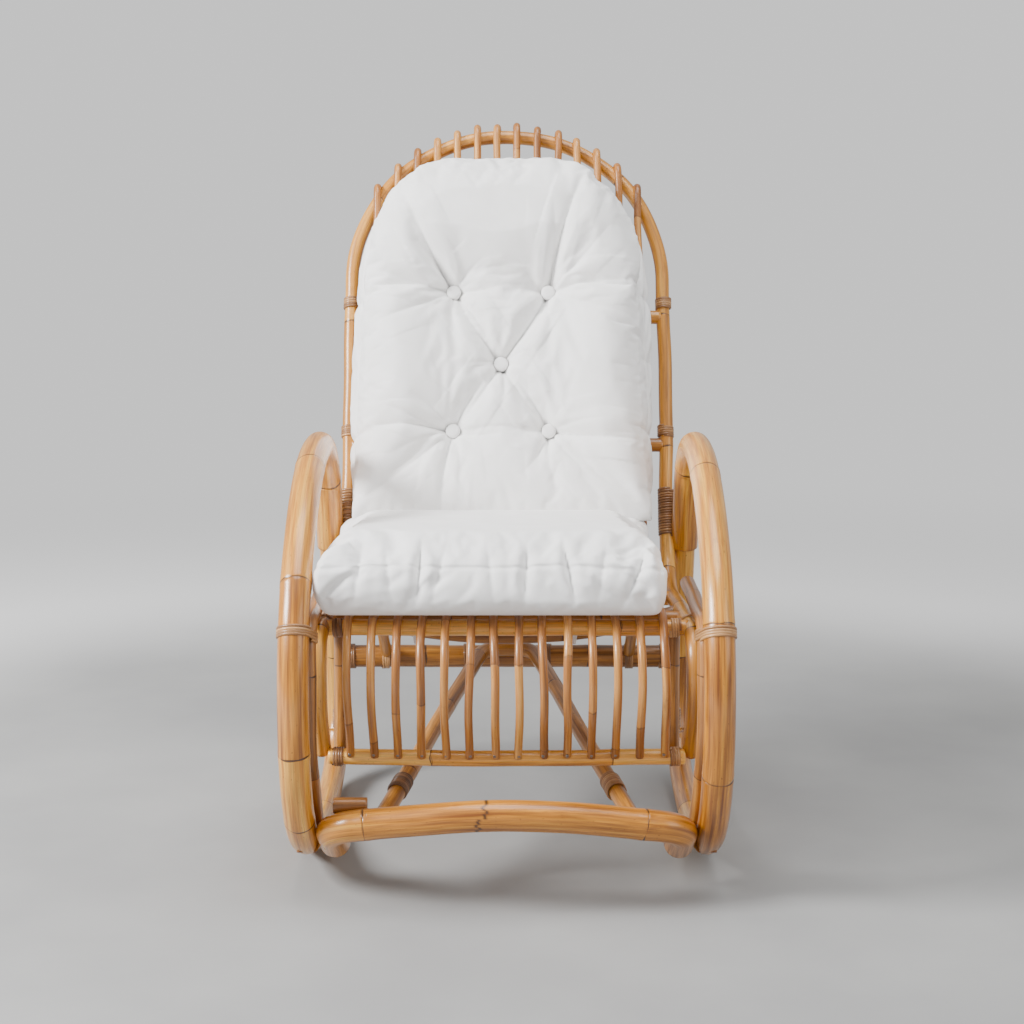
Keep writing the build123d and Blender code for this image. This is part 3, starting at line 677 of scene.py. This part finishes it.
# ---- cross rails of back, seat and front panel --------------
# Straight poles between the side rails; the lower rail bows forward and the seat's bow rail sags.
CROSS_POLE = 22
RAIL_END = 247
UPPER_RAIL_UP, LOWER_RAIL_UP = 449, 235
SEAT_REAR_RAIL, SEAT_MIDDLE_RAIL, TOP_RAIL = 440, 225, 128
# a paler copy of the cane for the front panel's rails: painted light, against the shade the cushion
# casts on them
pale_cane = manau("sun_side_manau", "#FFC864", "#F0A63C", "#A8661C", 0.34, 0.38, 1.0)
# the seat's rear and middle rails take the copy painted for shade under the seat, the front top rail the
# copy painted for light
cross_rails = {
    "back_upper_rail": (back_point(UPPER_RAIL_UP), frame_cane),
    "back_lower_rail": (back_point(LOWER_RAIL_UP), frame_cane),
    "seat_rear_rail": ((SEAT_REAR_RAIL, seat_line(SEAT_REAR_RAIL)), under_seat_shade_cane),
    "seat_middle_rail": ((SEAT_MIDDLE_RAIL, seat_line(SEAT_MIDDLE_RAIL)), under_seat_shade_cane),
    "front_top_rail": ((TOP_RAIL, seat_line(TOP_RAIL)), pale_cane),
}
for number, (node, (place, material)) in enumerate(cross_rails.items()):
    route = evenly([at(*place, x=-RAIL_END), at(*place, x=RAIL_END)], 4.0)
    cane(
        node.replace("_rail", "_pole"), node, route, CROSS_POLE, material,
        (75 + 31 * number, 310 + 23 * number), crook=0.5, seed=70 + number, around=22,
    )

BOW_STEPS = 60


def bowed(half_length, bow):
    """Points across the chair: bow(fall) gives depth and height where fall goes from 0 to 1 and back."""
    points = []
    for i in range(-BOW_STEPS, BOW_STEPS + 1):
        x = half_length * i / BOW_STEPS
        points.append(at(*bow(1 - (x / HALF_SEAT) ** 2), x))
    return evenly(points, 4.0)


LOWER_RAIL = (97.9, 194.2)
LOWER_RAIL_END = 242
PANEL_BOW = 10
cane(
    "front_lower_pole", "front_lower_rail",
    bowed(LOWER_RAIL_END, lambda fall: (LOWER_RAIL[0] - PANEL_BOW * fall, LOWER_RAIL[1])),
    CROSS_POLE, pale_cane, (140, 385), crook=0.5, seed=78, around=22,
)

BOW_RAIL = 300
BOW_POLE = 20
BOW_SAG = 40
cane(
    "seat_bow_pole", "seat_bow_rail",
    bowed(RAIL_END, lambda fall: (BOW_RAIL, seat_line(BOW_RAIL) - BOW_SAG * fall)),
    BOW_POLE, under_seat_shade_cane, (120, 330), crook=0.5, seed=79, around=20,
)

# ---- posts --------------------------------------------------
# Short ones stand behind the ends of the front panel; long ones slant from the seat's rear rail
# down to the rear rail of the loops.
POST_POLE = 18
POST_SIDE, REAR_POST_SIDE = 229, 196.2
POST_OVERRUN = 6
post_set_back = (CROSS_POLE + POST_POLE) / 2 + 2.2
for side, sign in (("left", -1), ("right", 1)):
    top = at(TOP_RAIL + post_set_back, seat_line(TOP_RAIL) + POST_OVERRUN, sign * POST_SIDE)
    foot = at(PANEL_FOOT[0] + post_set_back, PANEL_FOOT[1] - POST_OVERRUN, sign * POST_SIDE)
    cane(
        f"front_upright_{side}", f"front_post_{side}", evenly([top, foot], 3.0),
        POST_POLE, under_seat_shade_cane, (62,), crook=0.4, seed=81 + sign, around=20,
    )
    top = at(SEAT_REAR_RAIL, seat_line(SEAT_REAR_RAIL) - 5, sign * REAR_POST_SIDE)
    foot = at(*rear_rail_place, x=sign * REAR_POST_SIDE)
    cane(
        f"rear_upright_{side}", f"rear_post_{side}", evenly([top, foot], 3.0),
        POST_POLE, under_seat_shade_cane, (78,), crook=0.4, seed=84 + sign, around=20,
    )

# ---- cane rods ----------------------------------------------
# Fourteen thin rods hook over the back hoop, run down the back and along the seat, and bend down
# over the front; a wire nail holds each at the lower rail.  No two are quite alike.
ROD = 12
ROD_OFFSET = 17
ROD_COUNT = 14
ROD_PITCH = 32.7
ROD_FOOT = (101.4, 207.5)
NAIL_SHARE = 0.995
nail_steel, tree = blank_material("bright_nail_steel")
skin = add(
    tree, "ShaderNodeBsdfPrincipled",
    {"Base Color": paint("#8F8A84"), "Metallic": 1.0, "Roughness": 0.38},
)
add(tree, "ShaderNodeOutputMaterial", {"Surface": skin.outputs["BSDF"]})


def offset_corners(corners, distance):
    """Move a polyline of (depth, height) corners to the sitter's side by a distance."""
    normals = []
    for (y0, z0), (y1, z1) in zip(corners, corners[1:]):
        length = math.hypot(y1 - y0, z1 - z0)
        normals.append(((z1 - z0) / length, (y0 - y1) / length))
    moved = []
    for i, (y, z) in enumerate(corners):
        before = normals[max(i - 1, 0)]
        after = normals[min(i, len(normals) - 1)]
        share = distance / (1 + before[0] * after[0] + before[1] * after[1])
        moved.append((y + share * (before[0] + after[0]), z + share * (before[1] + after[1])))
    return moved


nail_heads = []
rng = random.Random(5)
for number in range(ROD_COUNT):
    x = (number - (ROD_COUNT - 1) / 2) * ROD_PITCH
    lean = math.sqrt(1 - (x / HALF_SEAT) ** 2)
    crossing = BACK_LENGTH - HALF_SEAT * (1 - lean) + ROD / 2 + BACK_POLE / 2 / lean
    bow = PANEL_BOW * (1 - (x / HALF_SEAT) ** 2)
    belly, foot = (PANEL_BELLY[0] - bow, PANEL_BELLY[1]), (ROD_FOOT[0] - bow, ROD_FOOT[1])
    inner = offset_corners([back_point(BACK_LENGTH), SEAT_REAR, SEAT_FRONT, belly, foot], ROD_OFFSET)
    corners = [back_point(crossing, -ROD / 2), back_point(crossing, ROD_OFFSET)] + inner[1:]
    route = bent([at(*c, x=x) for c in corners], [16, 78, 65, 122], step=3.0)
    nodes = []
    spot = rng.uniform(60, 200)
    while spot < 1400:
        nodes.append(spot)
        spot += rng.uniform(150, 300)
    cane(
        f"cane_rod_{number + 1:02d}", f"rod_{number + 1:02d}", route, ROD, rod_cane, tuple(nodes),
        thin=rng.uniform(0.93, 1.0), crook=rng.uniform(0.7, 1.5), seed=100 + number,
        around=14, scar=0.55,
    )
    spot = int(round(NAIL_SHARE * (len(route) - 1)))
    tangent = (route[spot] - route[spot - 1]).normalized()
    out = -Vector((1, 0, 0)).cross(tangent)
    nail_heads.append((route[spot] + out * (ROD / 2 - 0.2) * MM, out))


def joined(name, parts, node):
    """Make one piece of several, so that it can stand for one group of nodes."""
    work = bmesh.new()
    for part in parts:
        work.from_mesh(part.data)
    mesh = bpy.data.meshes.new(name)
    work.to_mesh(mesh)
    work.free()
    mesh.materials.append(parts[0].data.materials[0])
    for part in parts:
        bpy.data.objects.remove(part)
    whole = scene_object(name, mesh)
    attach(whole, "root")
    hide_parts(node)
    return whole


nails = [
    domed_pin(f"nail_{i}", centre, out, 4.4, 1.0, nail_steel)
    for i, (centre, out) in enumerate(nail_heads)
]
joined("rod_nail_heads", nails, "rod_nails")

# ---- lashings -----------------------------------------------
# Flat strips of rattan peel wound in close turns round each joint, their ends tucked under.
STRIP_WIDTH = 4.2
STRIP_THICKNESS = 2.0
STRIP_GAP = 0.15
OUTLINE_STEP = 1.6
peel = manau("rattan_peel", "#D9A468", "#97683A", "#50321A", 0.45, 0.40, 1.05)


def hull(points):
    """Convex hull of flat points, anticlockwise."""
    points = sorted(points)
    lower, upper = [], []
    for line, row in ((lower, points), (upper, points[::-1])):
        for p in row:
            while len(line) > 1 and (
                (line[-1][0] - line[-2][0]) * (p[1] - line[-2][1])
                - (line[-1][1] - line[-2][1]) * (p[0] - line[-2][0])
            ) <= 0:
                line.pop()
            line.append(p)
    return lower[:-1] + upper[:-1]


def wound(name, centre, direction, round_poles, length, seed):
    """A strip wound round one or more poles, given as (across, behind, radius) from the centre in mm."""
    rng = random.Random(seed)
    axis = Vector(direction).normalized()
    n1 = Vector((1, 0, 0)) if abs(axis.x) < 0.9 else Vector((0, 1, 0))
    n1 = (n1 - axis * axis.dot(n1)).normalized()
    n2 = axis.cross(n1)
    ring = []
    for across, behind, radius in round_poles:
        for j in range(48):
            angle = 2 * math.pi * j / 48
            ring.append((across + radius * math.cos(angle), behind + radius * math.sin(angle)))
    ring = hull(ring)
    outline = evenly([Vector((*p, 0)) * MM for p in ring + ring[:1]], OUTLINE_STEP)[:-1]
    count = len(outline)
    turns = max(2, round(length / (STRIP_WIDTH + STRIP_GAP)))
    pitch = length / turns
    half = ((0.5, -0.2), (0.47, 0.55), (0.25, 0.95))
    section = [(-w, t) for w, t in half] + [(0, 1.0), *half[::-1]]
    verts, faces, uvs, tones = [], [], [], []
    start = rng.randrange(count)
    tone = rng.uniform(0.2, 0.8)
    steps = count * turns
    wobble = [rng.uniform(-0.25, 0.25) for _ in range(turns + 2)]
    lift = [rng.uniform(0.0, 0.35) for _ in range(turns + 2)]
    previous = None
    for i in range(steps + 1):
        k = (start + i) % count
        point = outline[k]
        ahead = (outline[(k + 1) % count] - outline[k - 1]).normalized()
        outward = Vector((ahead.y, -ahead.x, 0))
        turn = i / count
        whole, part = int(turn), turn - int(turn)
        smooth = part * part * (3 - 2 * part)
        shift = (wobble[whole] * (1 - smooth) + wobble[whole + 1] * smooth)
        raised = (lift[whole] * (1 - smooth) + lift[whole + 1] * smooth)
        tuck = min(1.0, i / 5, (steps - i) / 5)
        z = -length / 2 + pitch / 2 + (length - pitch) * i / steps + shift
        base = centre + n1 * point.x + n2 * point.y
        up = n1 * outward.x + n2 * outward.y
        loop = []
        for w, t in section:
            verts.append(
                base + up * (t * STRIP_THICKNESS + raised - (1 - tuck) * 1.6) * MM
                + axis * (z + w * STRIP_WIDTH) * MM
            )
            tones.append(min(1.0, max(0.0, tone + (rng.random() - 0.5) * 0.1)))
            loop.append(len(verts) - 1)
        if previous:
            for j in range(len(section) - 1):
                faces.append((previous[j], previous[j + 1], loop[j + 1], loop[j]))
                corners = ((j, i), (j + 1, i), (j + 1, i + 1), (j, i + 1))
                uvs.append([(u * 0.0008 + seed * 0.01, v * 0.0016 + seed) for u, v in corners])
        previous = loop
    return scene_object(name, strip_mesh(name, verts, faces, uvs, peel, tone=tones))


windings = {}


def lash(joint, centre, direction, radius, length, seed, behind=()):
    """Wind one strip for a joint: round a pole of this radius, and the poles behind it."""
    strip = wound(f"{joint}_{seed}", centre, direction, [(0, 0, radius), *behind], length, seed)
    windings.setdefault(joint, []).append(strip)


# round the hoops' knees, gripping the braces behind them
HOOP_LASHING = 383
KNEE_BEND = loop_bends[2]
knee_turn = math.pi / 2 - KNEE_SLOPE
knee_lean = (HOOP_LASHING - (KNEE_HEIGHT - KNEE_BEND * math.tan(knee_turn / 2))) / KNEE_BEND
hoop_place = (KNEE_BEND * (1 - math.sqrt(1 - knee_lean**2)), HOOP_LASHING)
hoop_way = (0, knee_lean, math.sqrt(1 - knee_lean**2))
for sign in (-1, 1):
    brace_behind = [(-sign * 17, 22, BRACE_POLE / 2)]
    lash("hoop", at(*hoop_place, x=sign * LOOP_X), hoop_way, HOOP_POLE / 2, 19, 200 + sign, brace_behind)

# round the ends of rails and posts, a little thicker than the pole so that the strip lies on it
back_way = (0, math.sin(BACK_ANGLE), math.cos(BACK_ANGLE))
on_side, on_cross, on_post = SIDE_POLE / 2 + 0.3, CROSS_POLE / 2 + 0.3, POST_POLE / 2 + 0.3
RAIL_LASHING = 229.5
SPLICE_MIDDLE = 125
CORNER_LASHING = 158
POST_LASHING = (139, 236)
V_FOOT_LASHING = 0.09  # as a share of the brace
UPRIGHT_ABOVE_RAIL = 22.4
for sign in (-1, 1):
    for number, along in enumerate((LOWER_RAIL_UP, UPPER_RAIL_UP)):
        place = at(*back_point(along + UPRIGHT_ABOVE_RAIL), x=sign * HALF_SEAT)
        lash("upright", place, back_way, BACK_POLE / 2 + 0.2, 22, 210 + 3 * sign + number)
    lash("splice", at(*back_point(SPLICE_MIDDLE), x=sign * HALF_SEAT), back_way, on_side, 80, 220 + sign)
    place = at(TOP_RAIL, seat_line(TOP_RAIL), sign * RAIL_LASHING)
    lash("top_rail", place, (1, 0, 0), on_cross, 18, 230 + sign)
    place = at(96.2, LOWER_RAIL[1], sign * RAIL_LASHING)
    lash("lower_rail", place, (1, sign * 0.07, 0), on_cross, 18, 240 + sign)
    lash("post", at(*POST_LASHING, sign * POST_SIDE), (0, 22, 174), on_post, 30, 250 + sign)
    place = at(CORNER_LASHING, seat_line(CORNER_LASHING), sign * HALF_SEAT)
    lash("corner", place, (0, 1, -0.08), on_side, 9, 260 + sign)
    spot = int(round((V_FOOT_LASHING if sign < 0 else 1 - V_FOOT_LASHING) * (len(v_route) - 1)))
    lash("v_foot", v_route[spot], v_route[spot + 1] - v_route[spot - 1], on_side, 40, 270 + sign)
    for number, x in enumerate((HALF_SEAT, REAR_POST_SIDE, 64)):
        place = at(*rear_rail_place, x=sign * x)
        lash("rear_rail", place, (1, 0, 0), REAR_RAIL_POLE / 2 + 0.3, 16, 280 + 4 * sign + number)
for joint, strips in windings.items():
    fix_normals(joined(f"{joint}_windings", strips, f"{joint}_lashings").data)

# ---- cushion: seat and back pads ----------------------------
# Two stuffed pads of plain off-white cotton canvas with a flat seam round each.  The back pad
# is pulled in by five covered buttons, from which soft creases run to one another.
canvas, tree = blank_material("cotton_canvas")
spot = add(tree, "ShaderNodeTexCoord")
warp, weft = (
    add(
        tree, "ShaderNodeTexWave", {"Vector": spot.outputs["Object"], "Scale": 330.0, "Distortion": 0.6},
        wave_type="BANDS", bands_direction=way,
    )
    for way in "XZ"
)
weave = add(tree, "ShaderNodeMath", {0: warp.outputs["Fac"], 1: weft.outputs["Fac"]}, operation="ADD")
slub = add(tree, "ShaderNodeTexNoise", {"Vector": spot.outputs["Object"], "Scale": 26.0, "Detail": 5.0})
rumple = add(tree, "ShaderNodeTexNoise", {"Vector": spot.outputs["Object"], "Scale": 9.0, "Detail": 3.0})
shade = graded(tree, slub.outputs["Fac"], (0.3, "#F3F2F0"), (0.7, "#FAF9F8"))
folds = add(
    tree, "ShaderNodeBump", {"Height": rumple.outputs["Fac"], "Strength": 0.2, "Distance": 0.008}
)
threads = add(
    tree, "ShaderNodeBump",
    {
        "Height": weave.outputs[0], "Strength": 0.25, "Distance": 0.0003,
        "Normal": folds.outputs["Normal"],
    },
)
skin = add(
    tree, "ShaderNodeBsdfPrincipled",
    {
        "Base Color": shade, "Roughness": 0.86, "Normal": threads.outputs["Normal"],
        "Sheen Weight": 0.15, "Sheen Roughness": 0.6,
    },
)
add(tree, "ShaderNodeOutputMaterial", {"Surface": skin.outputs["BSDF"]})

PAD_LIFT = 23.4
SEAT_PAD = 92
BACK_PAD = 96
PAD_WIDTH = 476
SEAT_ASIDE, BACK_ASIDE = -18, -8
SEAT_SEAM = PAD_LIFT + 68
BACK_SEAM = PAD_LIFT + 60
BUTTONS = [(-84, 232), (64, 232), (-10, 340), (-84, 457), (64, 457)]
DENT = 24
BUTTON_RISE = 1.5
VOXEL = 0.0052
CLOTH_FRAMES = 20
seat_lean = math.atan2(SEAT_FRONT[1] - SEAT_REAR[1], SEAT_REAR[0] - SEAT_FRONT[0])


def on_seat(point):
    """Distance forward along the seat from its rear corner, and height out from the rails' line."""
    depth, height = point.y / MM + origin_depth - SEAT_REAR[0], point.z / MM - SEAT_REAR[1]
    return (
        -depth * math.cos(seat_lean) + height * math.sin(seat_lean),
        depth * math.sin(seat_lean) + height * math.cos(seat_lean),
    )


def on_back(point):
    """Distance up the back from the seat corner, and distance out to the sitter."""
    depth, height = point.y / MM + origin_depth - SEAT_REAR[0], point.z / MM - SEAT_REAR[1]
    return (
        depth * math.sin(BACK_ANGLE) + height * math.cos(BACK_ANGLE),
        -depth * math.cos(BACK_ANGLE) + height * math.sin(BACK_ANGLE),
    )


def from_segment(px, py, ax, ay, bx, by):
    length = (bx - ax) ** 2 + (by - ay) ** 2
    share = max(0.0, min(1.0, ((px - ax) * (bx - ax) + (py - ay) * (by - ay)) / length))
    return math.hypot(px - ax - share * (bx - ax), py - ay - share * (by - ay)), share


def stuffed(name, node, shrink_by, hold, gather, most, slack):
    """A pad swollen by its filling: hold(point) pins a point, gather(point) shortens the cloth there."""
    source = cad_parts[node]
    mesh = source.data.copy()
    mesh.transform(source.matrix_world)
    pad = scene_object(name, mesh)
    remesh = pad.modifiers.new("even", "REMESH")
    remesh.mode = "VOXEL"
    remesh.voxel_size = VOXEL
    bpy.context.view_layer.update()
    graph = bpy.context.evaluated_depsgraph_get()
    even = bpy.data.meshes.new_from_object(pad.evaluated_get(graph))
    pad.modifiers.clear()
    pad.data = even
    pinned = pad.vertex_groups.new(name="pinned")
    gathered = pad.vertex_groups.new(name="gathered")
    for vertex in even.vertices:
        vertex.co += shrink_by(vertex.co)
        pinned.add([vertex.index], hold(vertex.co), "REPLACE")
        gathered.add([vertex.index], gather(vertex.co), "REPLACE")
    rest = [v.co.copy() for v in even.vertices]
    cloth = pad.modifiers.new("cloth", "CLOTH")
    cloth.settings.quality = 5
    cloth.settings.mass = 0.3
    cloth.settings.tension_stiffness = 12
    cloth.settings.compression_stiffness = 12
    cloth.settings.shear_stiffness = 6
    cloth.settings.bending_stiffness = 0.4
    cloth.settings.use_pressure = True
    cloth.settings.uniform_pressure_force = 5
    cloth.settings.vertex_group_mass = "pinned"
    cloth.settings.pin_stiffness = 1
    cloth.settings.vertex_group_shrink = "gathered"
    cloth.settings.shrink_min = -slack
    cloth.settings.shrink_max = 0.05
    cloth.settings.effector_weights.gravity = 0
    cloth.collision_settings.use_collision = False
    cloth.point_cache.frame_start = 1
    cloth.point_cache.frame_end = CLOTH_FRAMES
    scene = bpy.context.scene
    for step in range(1, CLOTH_FRAMES + 1):
        scene.frame_set(step)
    graph = bpy.context.evaluated_depsgraph_get()
    swollen = pad.evaluated_get(graph).to_mesh()
    moved = [v.co.copy() for v in swollen.vertices]
    pad.evaluated_get(graph).to_mesh_clear()
    pad.modifiers.clear()
    scene.frame_set(1)
    for vertex, start, end in zip(even.vertices, rest, moved):
        shift = end - start
        if shift.length > most * MM:
            shift = shift.normalized() * most * MM
        vertex.co = start + shift
    pad.vertex_groups.clear()
    finer = pad.modifiers.new("finer", "SUBSURF")
    finer.levels = finer.render_levels = 1
    bpy.context.view_layer.update()
    graph = bpy.context.evaluated_depsgraph_get()
    fine = bpy.data.meshes.new_from_object(pad.evaluated_get(graph))
    pad.modifiers.clear()
    pad.data = fine
    return pad


def finished_pad(pad, node):
    pad.data.materials.clear()
    pad.data.materials.append(canvas)
    for polygon in pad.data.polygons:
        polygon.use_smooth = True
    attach(pad, "root")
    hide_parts(node)


def gathered_seam(out, seam, point):
    """How tightly the cloth is gathered: unevenly along the seam, and not elsewhere."""
    return 0.75 + 0.5 * noise.noise(point * 30) if abs(out - seam) < 5 else 0.0


def seat_shrink(point):
    """Move the cloth in before it swells: the belly less than the edges, the foot tucked under."""
    _, out = on_seat(point)
    aside = (point.x / MM - SEAT_ASIDE) / (PAD_WIDTH / 2)
    belly = 1 - ((out - PAD_LIFT - 44) / 50) ** 2
    wider = 12 if aside < 0 else 3
    front = max(0.0, min(1.0, (90 - point.y / MM - origin_depth) / 40))
    tuck = max(0.0, 1 - (out - PAD_LIFT) / 28) ** 2
    across, back = aside * (wider * belly - 6 - 8 * tuck), (16 * tuck - 10 * belly) * front
    return Vector((across * MM, back * MM, 0))


def seat_hold(point):
    """Pin the pad where it lies on the rods and against the back pad."""
    _, out = on_seat(point)
    _, back_out = on_back(point)
    under_back = back_out < PAD_LIFT + BACK_PAD - 12 and out > PAD_LIFT + SEAT_PAD - 8
    return float(out < PAD_LIFT + 5 or under_back or back_out < PAD_LIFT + 6)


def seat_gather(point):
    return gathered_seam(on_seat(point)[1], SEAT_SEAM, point)


seat_pad = stuffed("seat_pad", "seat_cushion", seat_shrink, seat_hold, seat_gather, 22, 0.012)
# puckers where the front seam is gathered: place across, depth, how far they lean
puckers = [
    (-196, 4, 5), (-158, 3, -6), (-116, 8, 3), (-88, 3, 10), (-22, 3, -5), (26, 6, 2), (82, 8, -8),
    (128, 3, 6), (176, 7, 16), (204, 4, -4),
]
for vertex in seat_pad.data.vertices:
    _, out = on_seat(vertex.co)
    x = vertex.co.x / MM
    depth = vertex.co.y / MM + origin_depth
    front = max(0.0, min(1.0, (110 - depth) / 40))
    shift = Vector((0, 0, 0))
    if front > 0 and out > PAD_LIFT + 12:
        fade = math.exp(-(((out - SEAT_SEAM) / 34) ** 2))
        for place, deep, lean in puckers:
            away = x - place - lean * (out - SEAT_SEAM) / 40
            cut = 1.5 * math.exp(-abs(away) / 4.6) - 0.35 * math.exp(-(((abs(away) - 13) / 8) ** 2))
            shift += Vector((0, 0.8, -0.5)) * deep * cut * fade * front
    off = (out - SEAT_SEAM - 1.5 * math.sin(x / 37) + 2.0 * noise.noise(vertex.co * 14)) / 2.6
    if abs(off) < 3:
        side = max(0.0, (abs(x - SEAT_ASIDE) - 200) / 38)
        inward = Vector((-side if x > SEAT_ASIDE else side, front, 0))
        if inward.length > 0.3:
            shift += inward.normalized() * 2.4 * math.exp(-off * off)
    vertex.co += shift * MM
finished_pad(seat_pad, "seat_cushion")


def back_shrink(point):
    """Draw the cloth in at the sides, and down to each button."""
    along, out = on_back(point)
    depth = (out - PAD_LIFT) / BACK_PAD
    aside = (point.x / MM - BACK_ASIDE) / (PAD_WIDTH / 2)
    shift = Vector((-aside * 9.0 * MM, 0, 0))
    if depth > 0.35:
        for x, up in BUTTONS:
            away = math.hypot(point.x / MM - x, along - up)
            pull = DENT * math.exp(-away / 30) * min(1.0, (depth - 0.35) / 0.4)
            shift -= Vector((0, -math.cos(BACK_ANGLE), math.sin(BACK_ANGLE))) * pull * MM
    return shift


def back_hold(point):
    """Pin the pad where it lies on the rods, under each button and on the seat pad."""
    along, out = on_back(point)
    buttoned = any(math.hypot(point.x / MM - x, along - up) < 9 for x, up in BUTTONS)
    return float(out < PAD_LIFT + 6 or buttoned or on_seat(point)[1] < PAD_LIFT + SEAT_PAD + 8)


def back_gather(point):
    return gathered_seam(on_back(point)[1], BACK_SEAM, point)


back_pad = stuffed("back_pad", "back_cushion", back_shrink, back_hold, back_gather, 26, 0.012)
# creases run out from each button: (button, end across, end up, depth)
creases = [
    (3, -163, 613, 7), (3, -150, 536, 3), (3, -222, 492, 5), (3, -216, 455, 3), (3, -228, 392, 3),
    (3, -78, 382, 3), (3, -33, 506, 4), (3, 2, 466, 4), (3, -10, 340, 5),
    (4, 72, 600, 4), (4, 122, 650, 8), (4, 166, 563, 3), (4, 218, 469, 5), (4, 202, 409, 2),
    (4, 25, 492, 3), (4, -6, 452, 4), (4, -10, 340, 5), (4, 72, 390, 2),
    (2, -84, 457, 5), (2, 64, 457, 5), (2, -84, 232, 5), (2, 64, 232, 5), (2, -10, 262, 4),
    (2, -69, 329, 3), (2, 43, 355, 3), (2, -62, 372, 3), (2, 40, 318, 3),
    (0, -230, 229, 6), (0, -210, 276, 4), (0, -186, 182, 3), (0, -228, 115, 3), (0, -101, 82, 5),
    (0, -72, 135, 3), (0, -151, 284, 4), (0, -10, 340, 5), (0, -10, 224, 3), (0, -88, 300, 2),
    (1, 212, 212, 8), (1, 160, 243, 3), (1, 72, 142, 4), (1, 22, 155, 4), (1, 119, 169, 3),
    (1, 62, 290, 3), (1, -10, 340, 5), (1, -6, 240, 3), (1, 150, 132, 2),
]
back_inward = Vector((0, math.cos(BACK_ANGLE), -math.sin(BACK_ANGLE)))
for vertex in back_pad.data.vertices:
    along, out = on_back(vertex.co)
    x = vertex.co.x / MM
    shift = Vector((0, 0, 0))
    level = max(0.0, min(1.0, (out - PAD_LIFT - 30) / 40))
    if level > 0:
        sink = 0.0
        for number, (button, ex, ey, deep) in enumerate(creases):
            bx, by = BUTTONS[button]
            away, share = from_segment(x, along, bx, by, ex, ey)
            if away < 40 and share < 1:
                bend = 5 * math.sin(share * math.pi) * (1 if number % 2 else -1)
                side = ((x - bx) * (ey - by) - (along - by) * (ex - bx)) / math.hypot(ex - bx, ey - by)
                away = abs(side - bend)
                wide = 3.4 + 6 * share
                line = math.exp(-away / wide) - 0.30 * math.exp(-(((away - 4 * wide) / (2 * wide)) ** 2))
                sink += 2.2 * deep * line * (1 - share) ** 0.7 * min(1.0, share * 6 + 0.2)
        for bx, by in BUTTONS:
            sink += 6 * math.exp(-math.hypot(x - bx, along - by) / 20)
        shift += back_inward * max(-4, min(sink, 17)) * level
    # the cloth is drawn in at the edge beside the rows of buttons and at the top right
    edge = max(0.0, (abs(x - BACK_ASIDE) - 185) / 50)
    for place, deep in ((228, 7), (455, 6), (345, 2), (128, 4)):
        notch = math.exp(-abs(along - place - (6 if x > 0 else -2)) / 7) * deep * min(1.0, edge)
        shift += Vector((-math.copysign(notch, x), 0, 0))
    off = (out - BACK_SEAM + 3 * noise.noise(vertex.co * 12)) / 2.8
    if abs(off) < 3 and (abs(x) > 190 or along > 600):
        inward = Vector((-x / (PAD_WIDTH / 2), 0, 0))
        if along > 600:
            inward += Vector((0, -math.sin(BACK_ANGLE), -math.cos(BACK_ANGLE)))
        shift += inward.normalized() * 3.0 * math.exp(-off * off)
    if along > 560:
        gather = abs(math.sin(x / 21 + 0.7)) ** 6 * 2.6 + abs(math.sin(x / 34 + 2.1)) ** 10 * 4.0
        reach = math.exp(-(((along - 690 + 0.0011 * (x - BACK_ASIDE) ** 2) / 45) ** 2))
        shift += back_inward * gather * reach
    vertex.co += shift * MM
finished_pad(back_pad, "back_cushion")

# ---- covered buttons and ties -------------------------------
# Five cloth-covered buttons sit in their dents; two tape ties hang under the seat between the rods.
covered = []
for number, (x, up) in enumerate(BUTTONS):
    centre = at(*back_point(up, PAD_LIFT + BACK_PAD - DENT + BUTTON_RISE), x=x)
    covered.append(domed_pin(f"button_{number}", centre, -back_inward, 22, 5.0, canvas))
joined("covered_buttons", covered, "cushion_buttons")

TIE_DEPTH = 262
TIE_ROWS, TIE_ROW = 28, 2.5
TIE_HALF_WIDTH = 7.5
for number, (gap, drift) in enumerate(((-4, 5), (3, -7))):
    mesh = bpy.data.meshes.new(f"tape_tie_{number + 1}")
    verts, faces = [], []
    x = gap * ROD_PITCH
    top = seat_line(TIE_DEPTH) + PAD_LIFT + 3
    for i in range(TIE_ROWS + 1):
        share = i / TIE_ROWS
        bulge = 3.0 * math.sin(share * math.pi * 1.3)
        for j in range(5):
            across = (j - 2) / 2 * TIE_HALF_WIDTH
            curl = 1.3 * math.sin(i / 5 + number) * (j - 2) / 2
            verts.append(at(TIE_DEPTH + bulge + curl, top - i * TIE_ROW, x + across + drift * share**2))
    for i in range(TIE_ROWS):
        for j in range(4):
            a = i * 5 + j
            faces.append((a, a + 1, a + 6, a + 5))
    mesh.from_pydata(verts, [], faces)
    mesh.materials.append(canvas)
    for polygon in mesh.polygons:
        polygon.use_smooth = True
    tie = scene_object(f"tape_tie_{number + 1}", mesh)
    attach(tie, "root")
    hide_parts("cushion_ties")
